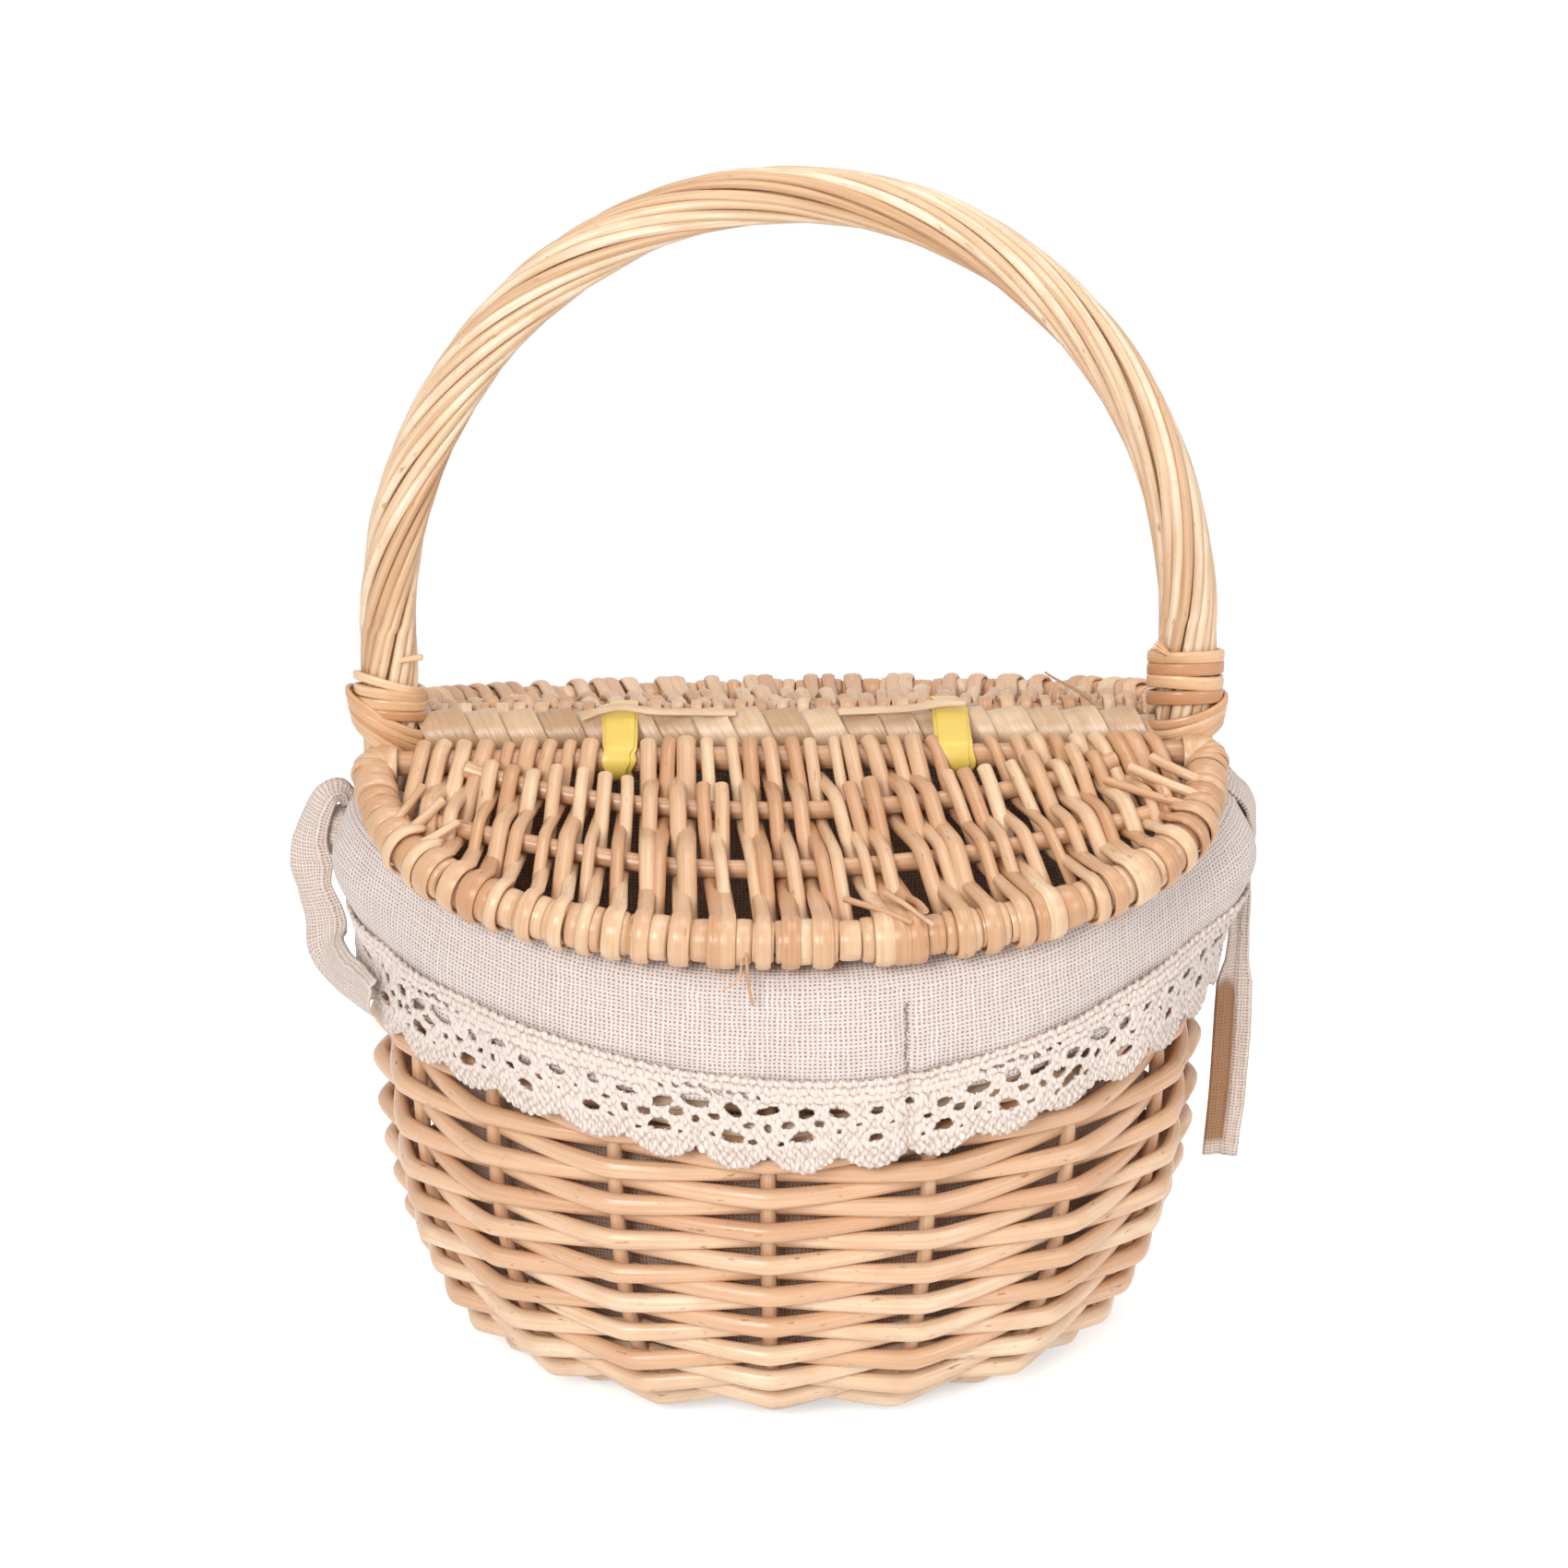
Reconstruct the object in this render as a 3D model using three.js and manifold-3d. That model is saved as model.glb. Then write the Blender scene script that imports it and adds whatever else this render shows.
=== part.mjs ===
// Small oval willow picnic basket: woven wall, twisted arch handle, two hinged half lids and a cloth liner.
// Millimetres, +Z up. X runs along the cross bar, -Y is the front, z = 0 is the table under the base.
import * as THREE from 'three';
import { ConvexGeometry } from 'three/addons/geometries/ConvexGeometry.js';
import { mergeVertices } from 'three/addons/utils/BufferGeometryUtils.js';
import Module from 'manifold-3d';

// Fits
const FIT = 0.3; // gap between pieces that touch
const HINGE_FIT = 0.4; // gap round a hinge rod inside its tie

// Woven body, measured on the line of the stakes
const BASE_HALF_LENGTH = 72;
const BASE_HALF_DEPTH = 53;
const BELLY_HALF_LENGTH = 104.8;
const BELLY_HALF_DEPTH = 80.4;
const RIM_TUCK = 0.8; // how far the rim stands in from the belly
const RIM_HALF_LENGTH = BELLY_HALF_LENGTH - RIM_TUCK;
const RIM_HALF_DEPTH = BELLY_HALF_DEPTH - RIM_TUCK;
const BELLY_HEIGHT = 86;
const WEAVER_DIA = 4.9;
const STAKE_DIA = 4.1;
const ROW_GAP = 0.35; // daylight between neighbouring rows where they cross
const FRONT_SPACES = 8; // spaces between stakes on the front half
const BACK_SPACES = 9; // spaces between stakes on the back half
const STAKE_DRIFT = 0.08; // radians by which the front stakes lean to the left of an even spacing
const SADDLE_START = 0.45; // share of the wall's height where the rows begin to follow the rim
const WALL_RODS = 4; // joined rods in the wall's spiral

// Base panel
const BASE_ROD_DIA = 5;
const BASE_WEAVER_DIA = 3;
const BASE_RIB_PLACE = 0.46; // place of the outer ribs as a share of the base's half depth
const BASE_STROKES = 13; // an odd number, so that one stroke crosses the middle
const BASE_STROKE_REACH = 0.8; // share of the base's length that the strokes cover
const BASE_FLAT = 0.5; // depth of the flat worn under the base rods
const BASE_EDGE_GAP = 2; // between the base panel's wraps and the stakes

// Rim border
const RIM_DIA = 11;

// Lids
const HINGE_HEIGHT = 170;
const HINGE_OFFSET = 14.5; // from the cross bar's axis to each hinge rod's axis
const LID_SLOPE = THREE.MathUtils.degToRad(16.7);
const LID_END_OVERHANG = 3.8; // beyond the rim's middle line at the handle
const LID_FRONT_OVERHANG = 6; // beyond the rim's middle line at the front and back
const LID_HALF_LENGTH = RIM_HALF_LENGTH + LID_END_OVERHANG;
const LID_DEPTH = (RIM_HALF_DEPTH + LID_FRONT_OVERHANG - HINGE_OFFSET) / Math.cos(LID_SLOPE);
const LID_SQUARENESS = 2.3; // exponent of the D outline, 2 is an ellipse
const LID_HOOP_DIA = 6;
const HINGE_ROD_DIA = 6.4;
const LID_RIB_DIA = 4.8;
const LID_RIB_DEPTHS = [0.33, 0.6].map((share) => share * LID_DEPTH); // at the lid's middle
const LID_RIB_BOW = 0.2; // share of its depth that a rib loses from the middle to the ends
const LID_FAN = 0.0042; // lean of the strokes, for each millimetre from the lid's middle
const LID_RIB_CLEAR = 18; // a stroke crosses a rib only this far from the hoop
const LID_WEAVER_DIA = 3.6;
const LID_STROKE_PITCH = 6;
const LID_END_MARGIN = 16; // from the hoop's widest line to the last stroke

// Handle
const HANDLE_TOP = 324.5;
const HANDLE_SPRING = 200; // height where the legs turn into the arch
const HANDLE_CORE_DIA = 6.6;
const HANDLE_ROD_DIA = 3.8;
const HANDLE_RODS = 8;
const HANDLE_TWISTS = 2; // turns of the outer rods from foot to foot
const HANDLE_SPIKE = 48; // length of the bow's thin ends inside the wall

// Handle bindings
const SKEIN_WIDTH = 4.2;
const SKEIN_THICK = 1.8;
const SKEIN_GAP = 0.5;
const SKEIN_TURNS = 4.5;

// Cross bar, its cane band and the hinge ties
const BAR_DIA = 10;
const BAR_RISE = 2; // cross bar's axis above the hinge rods' axes
const CANE_THICK = 0.8;
const CANE_WIDTH = 9.6;
const CANE_GAP = 0.7;
const CANE_END = 3; // bare end of the bar at each leg
const TIE_WIDTH = 8.5;
const TIE_THICK = 1;
const TIE_SPREAD = 44; // from the middle of the bar to each tie

// Cloth
const CLOTH = 1.2;
const CUFF_DROP = 28; // from the rim's middle to the cuff's hem
const CUFF_RIPPLE = 1.4;
const CUFF_RIPPLES = 12; // a multiple of 4, so that the cuff lies flat at the handle's legs
const SLIT_MARGIN = 1;
const LACE_THICK = 1;
const LACE_WIDTH = 22;
const LACE_LAP = 3;
const LACE_SCALLOPS = 36;
const SCALLOP_DEPTH = 3.5;
const RIBBON_WIDTH = 9.5;
const RIBBON_THICK = 1.4;
const KNOT_WIDTH = 13;
const KNOT_DEPTH = 9;
const KNOT_DROP = 8; // knot's middle below the rim's middle
const LOOP_DROP = 52; // lowest bend of the left loop below its knot
const TAIL_DROP = 99; // end of the right tail below its knot

const wasm = await Module();
wasm.setup();

const { PI, abs, atan2, cos, floor, hypot, max, sign, sin, sqrt, tan } = Math;
const lerp = THREE.MathUtils.lerp;
const vec = (x, y, z) => new THREE.Vector3(x, y, z);

// Materials
const finish = (color, roughness) => new THREE.MeshStandardMaterial({ color, roughness, metalness: 0 });
const WILLOW = finish('#d9ad78', 0.55);
const WILLOW_DARK = finish('#c4915c', 0.55);
const CANE = finish('#d6bf8e', 0.5);
const LINEN = finish('#e6dcd6', 0.9);
const LACE = finish('#efe4d3', 0.9);
const TIE_PLASTIC = finish('#f2e27c', 0.35);

const basket = new THREE.Group();

function addPiece(name, geometry, material, parent = basket) {
  const mesh = new THREE.Mesh(geometry, material);
  mesh.name = name;
  parent.add(mesh);
  return mesh;
}

// Section outlines, counter-clockwise
function roundSection(diameter, sides) {
  return Array.from({ length: sides }, (_, i) => {
    const angle = (2 * PI * (i + 0.5)) / sides;
    return new THREE.Vector2(0.5 * diameter * cos(angle), 0.5 * diameter * sin(angle));
  });
}

// Four ridges, facing up, down, in and out
function ridgedSection(diameter) {
  const half = 0.5 * diameter;
  return [[half, 0], [0, half], [-half, 0], [0, -half]].map(([x, y]) => new THREE.Vector2(x, y));
}

function flatSection(width, thick) {
  return [[-1, -1], [1, -1], [1, 1], [-1, 1]].map(
    ([x, y]) => new THREE.Vector2(0.5 * width * x, 0.5 * thick * y));
}

function geometryOf(positions, triangles) {
  const geometry = new THREE.BufferGeometry();
  const numbers = positions.flatMap((point) => point.toArray());
  geometry.setAttribute('position', new THREE.Float32BufferAttribute(numbers, 3));
  geometry.setIndex(triangles.flat());
  geometry.computeVertexNormals();
  return geometry;
}

function directionsAlong(points, closed) {
  const count = points.length;
  return points.map((_, i) => {
    const before = points[closed ? (i + count - 1) % count : max(i - 1, 0)];
    const after = points[closed ? (i + 1) % count : Math.min(i + 1, count - 1)];
    return after.clone().sub(before).normalize();
  });
}

// A rod, strip or ring: one section carried along a line of points.
// outs gives the way each section's y side faces; without it the section is carried on without twisting.
// scales gives each section's size as a share of the full one.
function sweep(section, points, { closed = false, outs = null, scales = null } = {}) {
  const sides = section.length;
  const ways = directionsAlong(points, closed);
  const start = abs(ways[0].z) < 0.9 ? vec(0, 0, 1) : vec(1, 0, 0);
  let carried = start.cross(ways[0]).normalize();
  const positions = [];
  points.forEach((point, i) => {
    const way = ways[i];
    const out = outs ? outs[i].clone() : carried.clone();
    out.addScaledVector(way, -way.dot(out)).normalize();
    carried = out;
    const across = out.clone().cross(way);
    const size = scales ? scales[i] : 1;
    for (const { x, y } of section) {
      positions.push(point.clone().addScaledVector(across, x * size).addScaledVector(out, y * size));
    }
  });
  const rings = points.length;
  const triangles = [];
  for (let ring = 0; ring < (closed ? rings : rings - 1); ring++) {
    const here = ring * sides;
    const next = ((ring + 1) % rings) * sides;
    for (let i = 0; i < sides; i++) {
      const j = (i + 1) % sides;
      triangles.push([here + i, here + j, next + j], [here + i, next + j, next + i]);
    }
  }
  const last = (rings - 1) * sides;
  for (let i = 1; !closed && i < sides - 1; i++) {
    triangles.push([0, i + 1, i], [last, last + i, last + i + 1]);
  }
  return geometryOf(positions, triangles);
}

// A sheet of cloth with thickness: rings of points from the middle or upper edge to the lower edge.
function shell(rings, thick, floored) {
  const count = rings[0].length;
  const faceAt = (r, i) => {
    const across = rings[r][(i + 1) % count].clone().sub(rings[r][(i + count - 1) % count]);
    const along = rings[Math.min(r + 1, rings.length - 1)][i].clone().sub(rings[max(r - 1, 0)][i]);
    return across.cross(along).normalize();
  };
  const positions = [];
  for (const side of [0.5, -0.5]) {
    rings.forEach((ring, r) => ring.forEach((point, i) => {
      positions.push(point.clone().addScaledVector(faceAt(r, i), side * thick));
    }));
  }
  const under = rings.length * count;
  const triangles = [];
  for (let r = 0; r < rings.length - 1; r++) {
    for (let i = 0; i < count; i++) {
      const a = r * count + i;
      const b = r * count + ((i + 1) % count);
      triangles.push([a, b, b + count], [a, b + count, a + count]);
      triangles.push([under + a, under + b + count, under + b]);
      triangles.push([under + a, under + a + count, under + b + count]);
    }
  }
  const lower = (rings.length - 1) * count;
  for (let i = 0; i < count; i++) {
    const j = (i + 1) % count;
    triangles.push([lower + i, lower + j, under + lower + j]);
    triangles.push([lower + i, under + lower + j, under + lower + i]);
    if (!floored) triangles.push([j, i, under + i], [j, under + i, under + j]);
  }
  if (floored) {
    for (const [base, up] of [[0, true], [under, false]]) {
      const middle = positions.length;
      const centre = vec(0, 0, 0);
      for (let i = 0; i < count; i++) centre.add(positions[base + i]);
      positions.push(centre.divideScalar(count));
      for (let i = 0; i < count; i++) {
        const j = (i + 1) % count;
        triangles.push(up ? [middle, base + j, base + i] : [middle, base + i, base + j]);
      }
    }
  }
  return geometryOf(positions, triangles);
}

// Solids for cutting
function solidOf(geometry) {
  const bare = geometry.clone();
  bare.deleteAttribute('normal');
  if (bare.hasAttribute('uv')) bare.deleteAttribute('uv');
  const merged = mergeVertices(bare, 1e-4);
  return new wasm.Manifold(new wasm.Mesh({
    numProp: 3,
    vertProperties: new Float32Array(merged.attributes.position.array),
    triVerts: new Uint32Array(merged.index.array),
  }));
}

function cut(geometry, ...tools) {
  const left = tools.reduce((rest, tool) => rest.subtract(solidOf(tool)), solidOf(geometry));
  const { vertProperties, triVerts } = left.getMesh();
  const result = new THREE.BufferGeometry();
  result.setAttribute('position', new THREE.Float32BufferAttribute(vertProperties, 3));
  result.setIndex(new THREE.Uint32BufferAttribute(triVerts, 1));
  result.computeVertexNormals();
  return result;
}

const boxAt = (length, depth, height, x, y, z) =>
  new THREE.BoxGeometry(length, depth, height).translate(x, y, z);

// How far a rod's axis passes from the axis of one that it crosses
const passing = (diaA, diaB) => 0.5 * (diaA + diaB) + FIT;
const WRAP_BEND = PI / 8; // a wrap goes round a rod in steps of an eighth of a turn

// A stroke lists the rods that it crosses, edge rods first and last, each with its place and diameter.
// An edge rod has the way out and the share of a square crossing, and a rib has its number.
// The stroke's heights over them allow for the slope between them and for edges crossed at a slant.
function strokeHeights(stroke, weaverDia) {
  const gaps = stroke.map(({ dia }) => passing(weaverDia, dia));
  let heights = gaps.map((gap) => gap / cos(WRAP_BEND));
  for (let pass = 0; pass < 4; pass++) {
    heights = stroke.map((crossing, c) => {
      const rises = [c - 1, c + 1].filter((n) => stroke[n]).map((n) =>
        (heights[c] + heights[n]) / abs(stroke[n].y - crossing.y));
      const square = crossing.square ?? 1;
      const height = (gaps[c] * hypot(max(...rises), square)) / square;
      return crossing.out ? max(height, gaps[c] / cos(WRAP_BEND)) : height;
    });
  }
  return heights;
}

// A panel woven to and fro: one rod passes over and under the rods it crosses and wraps round the edge rods
function toAndFro(strokes, weaverDia, firstOver) {
  const points = [];
  let over = firstOver;
  strokes.forEach((stroke, s) => {
    const order = s % 2 ? [...stroke].reverse() : stroke;
    const heights = strokeHeights(order, weaverDia);
    order.forEach(({ x, y }, c) => {
      points.push(vec(x, y, over * heights[c]));
      over = -over;
    });
    const next = strokes[s + 1];
    if (!next) return;
    const leaving = order.at(-1);
    const entering = s % 2 ? next[0] : next.at(-1);
    const nextHeights = strokeHeights(next, weaverDia);
    const reach = max(heights.at(-1), s % 2 ? nextHeights[0] : nextHeights.at(-1));
    for (const part of [0.25, 0.5, 0.75]) {
      const out = leaving.out.clone().lerp(entering.out, part).normalize();
      const point = vec(lerp(leaving.x, entering.x, part), lerp(leaving.y, entering.y, part), 0);
      point.addScaledVector(out, reach * sin(PI * part));
      point.z = -over * reach * cos(PI * part);
      points.push(point);
    }
  });
  return points;
}

// A rib reaches just past the last stroke that crosses it
const ribHalf = (strokes, number, weaverDia) =>
  max(...strokes.flat().filter(({ rib }) => rib === number).map(({ x }) => abs(x))) + 0.5 * weaverDia + FIT;

// Lids: drawn flat with the hinge rod's axis as the x axis and the lid reaching out along -y
const lidReach = (x) =>
  LID_DEPTH * (1 - abs(x / LID_HALF_LENGTH) ** LID_SQUARENESS) ** (1 / LID_SQUARENESS);
const LID_HOOP_STEPS = 28;
const lidHoopLine = Array.from({ length: LID_HOOP_STEPS + 1 }, (_, i) => {
  const angle = (PI * i) / LID_HOOP_STEPS;
  const power = 2 / LID_SQUARENESS;
  const across = cos(angle);
  const length = LID_HALF_LENGTH * sign(across) * abs(across) ** power;
  return vec(length, -LID_DEPTH * abs(sin(angle)) ** power, 0);
});

// Strokes keep clear of the ties: an odd count beyond each tie and an even one between them,
// so that the weaver passes the ties along the hoop
const tieClear = 0.5 * TIE_WIDTH + 0.5 * LID_WEAVER_DIA + 3 * FIT;
const spread = (from, to, count) => Array.from({ length: count }, (_, i) => lerp(from, to, i / (count - 1)));
const lastStroke = LID_HALF_LENGTH - LID_END_MARGIN;
const firstClear = TIE_SPREAD + tieClear;
const endStrokes = 2 * floor((lastStroke - firstClear) / (2 * LID_STROKE_PITCH)) + 3;
const middleStrokes = 2 * floor((TIE_SPREAD - tieClear) / LID_STROKE_PITCH) + 2;
const strokeXs = [
  ...spread(-lastStroke, -firstClear, endStrokes),
  ...spread(-TIE_SPREAD + tieClear, TIE_SPREAD - tieClear, middleStrokes),
  ...spread(firstClear, lastStroke, endStrokes),
];
const ribDepth = (rib, x) => LID_RIB_DEPTHS[rib] * (1 - LID_RIB_BOW * (x / LID_HALF_LENGTH) ** 2);
const lidStrokes = strokeXs.map((hingeX) => {
  const xAt = (depth) => hingeX * (1 + LID_FAN * depth);
  // Where the leaning stroke meets a line that is given by its depth at each x
  const meet = (depthAt, from) => Array.from({ length: 20 }).reduce(
    (depth) => 0.5 * (depth + depthAt(xAt(depth))), from);
  const reach = meet((x) => lidReach(Math.min(abs(x), LID_HALF_LENGTH)), lidReach(hingeX));
  const x = xAt(reach);
  const bendIn = LID_SQUARENESS - 1;
  const out = vec(sign(x) * (abs(x) / LID_HALF_LENGTH) ** bendIn / LID_HALF_LENGTH,
    -((reach / LID_DEPTH) ** bendIn) / LID_DEPTH, 0).normalize();
  const square = abs(out.dot(vec(LID_FAN * hingeX, -1, 0)));
  const ribs = LID_RIB_DEPTHS.map((middle, rib) => {
    const depth = meet((ribX) => ribDepth(rib, ribX), middle);
    return { x: xAt(depth), y: -depth, dia: LID_RIB_DIA, rib };
  });
  return [
    { x: hingeX, y: 0, dia: HINGE_ROD_DIA, out: vec(0, 1, 0), square: 1 },
    ...ribs.filter(({ y }) => -y < reach - LID_RIB_CLEAR),
    { x, y: -reach, dia: LID_HOOP_DIA, out, square },
  ];
});
const lidWeaveLine = toAndFro(lidStrokes, LID_WEAVER_DIA, 1);

// Heights that stack up under the closed lids
const lidLine = (y) => HINGE_HEIGHT - max(0, abs(y) - HINGE_OFFSET) * tan(LID_SLOPE);
const lidHalfThick = max(...lidWeaveLine.map(({ z }) => abs(z))) + 0.5 * LID_WEAVER_DIA;
const foldRadius = (0.5 * RIM_DIA + FIT) / cos(WRAP_BEND) + 0.5 * CLOTH;
const rimBelowLid = (lidHalfThick + FIT + 0.5 * CLOTH + foldRadius) / cos(LID_SLOPE);
const rimHeight = (y) => lidLine(y) - rimBelowLid;
const weaveBelowRim = 0.5 * RIM_DIA + FIT + 0.5 * WEAVER_DIA;
const frontTop = rimHeight(RIM_HALF_DEPTH) - weaveBelowRim;

// Line of the stakes: share 0 is the base edge, 1 the top row; angle 0 is the front, a quarter turn is +X
const weaveReach = passing(WEAVER_DIA, STAKE_DIA);
const wallFoot = weaveReach + 0.5 * WEAVER_DIA + 2 * FIT;
const bowl = new THREE.EllipseCurve(
  BASE_HALF_DEPTH, BELLY_HEIGHT, BELLY_HALF_DEPTH - BASE_HALF_DEPTH, BELLY_HEIGHT - wallFoot, -PI / 2, 0);
const bowlLength = bowl.getLength();
const upperLength = hypot(RIM_HALF_DEPTH - BELLY_HALF_DEPTH, frontTop - BELLY_HEIGHT);
const frontLength = bowlLength + upperLength;

function wallPoint(share, angle) {
  const along = share * frontLength;
  let length = BELLY_HALF_LENGTH;
  let depth = BELLY_HALF_DEPTH;
  let height = BELLY_HEIGHT;
  if (along < bowlLength) {
    const point = bowl.getPointAt(max(along, 0) / bowlLength);
    const spread = (point.x - BASE_HALF_DEPTH) / (BELLY_HALF_DEPTH - BASE_HALF_DEPTH);
    length = lerp(BASE_HALF_LENGTH, BELLY_HALF_LENGTH, spread);
    depth = point.x;
    height = point.y;
  } else {
    const up = (along - bowlLength) / upperLength;
    length = lerp(BELLY_HALF_LENGTH, RIM_HALF_LENGTH, up);
    depth = lerp(BELLY_HALF_DEPTH, RIM_HALF_DEPTH, up);
    height = lerp(BELLY_HEIGHT, frontTop, up);
  }
  const lift = lidLine(RIM_HALF_DEPTH * cos(angle)) - lidLine(RIM_HALF_DEPTH);
  const follow = max(0, (share - SADDLE_START) / (1 - SADDLE_START));
  height += lift * follow * follow * (3 - 2 * Math.min(follow, 1));
  return vec(length * sin(angle), -depth * cos(angle), height);
}

function wallFacing(share, angle) {
  const step = 0.002;
  const around = wallPoint(share, angle + step).sub(wallPoint(share, angle - step));
  const up = wallPoint(share + step, angle).sub(wallPoint(max(share - step, 0), angle));
  return around.cross(up).normalize();
}

const offWall = (share, angle, out) =>
  wallPoint(share, angle).addScaledVector(wallFacing(share, angle), out);

function shareAtHeight(height, angle) {
  let low = 0;
  let high = 1;
  for (let i = 0; i < 24; i++) {
    const middle = 0.5 * (low + high);
    if (wallPoint(middle, angle).z < height) low = middle;
    else high = middle;
  }
  return low;
}

// Stakes: one stands under each leg of the handle, the front ones drift to the left
const STAKES = FRONT_SPACES + BACK_SPACES;
function stakeAngle(index) {
  const turn = floor(index / STAKES);
  const place = index - turn * STAKES;
  const inFront = place <= FRONT_SPACES;
  const even = inFront
    ? -PI / 2 + (PI * place) / FRONT_SPACES
    : PI / 2 + (PI * (place - FRONT_SPACES)) / BACK_SPACES;
  return even - (inFront ? STAKE_DRIFT * cos(even) : 0) + 2 * PI * turn;
}

const legFoot = rimHeight(0) - weaveBelowRim;
const spikeEnd = legFoot - HANDLE_SPIKE;
const stakeSection = roundSection(STAKE_DIA, 5);
const STAKE_STEPS = 9;
for (let i = 0; i < STAKES; i++) {
  const angle = stakeAngle(i);
  const underLeg = i === 0 || i === FRONT_SPACES;
  const topShare = underLeg ? shareAtHeight(spikeEnd - FIT, angle) : 1;
  const points = Array.from({ length: STAKE_STEPS + 1 }, (_, s) => {
    const even = s / STAKE_STEPS;
    return wallPoint(topShare * even * (0.5 + 0.5 * even), angle);
  });
  if (!underLeg) {
    const top = points[STAKE_STEPS];
    points.push(vec(top.x, top.y, rimHeight(top.y) - 0.5 * RIM_DIA - FIT));
  }
  addPiece(`stake_${String(i + 1).padStart(2, '0')}`, sweep(stakeSection, points), WILLOW_DARK);
}

// Wall weave: one rod in a rising spiral, outside one stake and inside the next, in a few joined lengths
const rows = floor(frontLength / (WEAVER_DIA + ROW_GAP));
const stations = rows * STAKES;
function weavePoint(station) {
  const share = station / stations;
  const angle = stakeAngle(station);
  const before = wallPoint(share, stakeAngle(station - 1));
  const span = 0.5 * before.distanceTo(wallPoint(share, stakeAngle(station + 1)));
  const bend = atan2(2 * weaveReach, span);
  return offWall(share, angle, (station % 2 ? -1 : 1) * (weaveReach / cos(bend)));
}

const weaverSection = ridgedSection(WEAVER_DIA + 0.5 * FIT);
for (let length = 0; length < WALL_RODS; length++) {
  const first = floor((stations * length) / WALL_RODS);
  const last = floor((stations * (length + 1)) / WALL_RODS);
  const points = [];
  const outs = [];
  for (let station = first; station <= last; station++) {
    points.push(weavePoint(station));
    outs.push(wallFacing(station / stations, stakeAngle(station)));
  }
  if (length > 0) {
    const join = points[0].clone().lerp(points[1], 0.5);
    points[0] = join.add(points[1].clone().sub(points[0]).setLength(FIT));
  }
  if (length < WALL_RODS - 1) {
    points.push(points.at(-1).clone().lerp(weavePoint(last + 1), 0.5));
    outs.push(outs.at(-1));
  } else {
    points.at(-1).lerp(points.at(-2), 0.5);
  }
  addPiece(`wall_weave_${length + 1}`, sweep(weaverSection, points, { outs }), WILLOW);
}

// Base: oval hoop, lengthwise ribs and a to-and-fro weaver, worn flat underneath
const baseWrap = passing(BASE_ROD_DIA, BASE_WEAVER_DIA) / cos(WRAP_BEND);
const baseInset = baseWrap + 0.5 * (BASE_WEAVER_DIA + STAKE_DIA) + BASE_EDGE_GAP;
const baseLength = BASE_HALF_LENGTH - baseInset;
const baseDepth = BASE_HALF_DEPTH - baseInset;
const baseRibs = [-1, 0, 1].map((place) => place * BASE_RIB_PLACE * baseDepth);
const baseStrokes = Array.from({ length: BASE_STROKES }, (_, i) => {
  const x = BASE_STROKE_REACH * baseLength * ((2 * i) / (BASE_STROKES - 1) - 1);
  const edge = baseDepth * sqrt(1 - (x / baseLength) ** 2);
  const out = vec(x / baseLength ** 2, edge / baseDepth ** 2, 0).normalize();
  const edgeAt = (y, way) => ({ x, y, dia: BASE_ROD_DIA, out: way, square: abs(way.y) });
  const crossed = baseRibs.map((y, rib) => ({ x, y, dia: BASE_ROD_DIA, rib }))
    .filter(({ y }) => abs(y) + 3.5 * BASE_ROD_DIA < edge);
  return [edgeAt(-edge, vec(out.x, -out.y, 0)), ...crossed, edgeAt(edge, out)];
});
const baseWeave = sweep(roundSection(BASE_WEAVER_DIA, 4), toAndFro(baseStrokes, BASE_WEAVER_DIA, -1));
baseWeave.computeBoundingBox();
const baseHalfThick = -baseWeave.boundingBox.min.z;
const base = new THREE.Group();
base.position.z = baseHalfThick - BASE_FLAT;
basket.add(base);

const BASE_HOOP_STEPS = 32;
const baseHoopLine = Array.from({ length: BASE_HOOP_STEPS }, (_, i) => {
  const angle = (2 * PI * i) / BASE_HOOP_STEPS;
  return vec(baseLength * cos(angle), baseDepth * sin(angle), 0);
});
const baseRodSection = roundSection(BASE_ROD_DIA, 6);
addPiece('base_hoop', sweep(baseRodSection, baseHoopLine, { closed: true }), WILLOW_DARK, base);
baseRibs.forEach((y, i) => {
  const half = ribHalf(baseStrokes, i, BASE_WEAVER_DIA);
  const rib = sweep(baseRodSection, [vec(-half, y, 0), vec(half, y, 0)]);
  addPiece(`base_rib_${i + 1}`, rib, WILLOW_DARK, base);
});
const worn = boxAt(4 * BASE_HALF_LENGTH, 4 * BASE_HALF_DEPTH, baseHalfThick,
  0, 0, BASE_FLAT - 1.5 * baseHalfThick);
addPiece('base_weave', cut(baseWeave, worn), WILLOW, base);

// Rim border: two halves that end at the handle's legs
const legGap = 0.5 * HANDLE_CORE_DIA + FIT;
const rimEnd = Math.acos(legGap / RIM_HALF_DEPTH);
const rimCentre = (angle) => {
  const top = wallPoint(1, angle);
  return vec(top.x, top.y, rimHeight(top.y));
};
const LINER_COLUMNS = 32; // the liner's columns, which the rim's bends share
const columnAngle = (i) => -PI / 2 + (2 * PI * i) / LINER_COLUMNS;
const rimBends = Array.from({ length: LINER_COLUMNS / 2 - 1 }, (_, i) => columnAngle(i + 1));
for (const [name, turn] of [['rim_front', 0], ['rim_back', PI]]) {
  const line = [-rimEnd, ...rimBends, rimEnd].map((angle) => rimCentre(turn + angle));
  addPiece(name, sweep(roundSection(RIM_DIA, 6), line), WILLOW_DARK);
}

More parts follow.
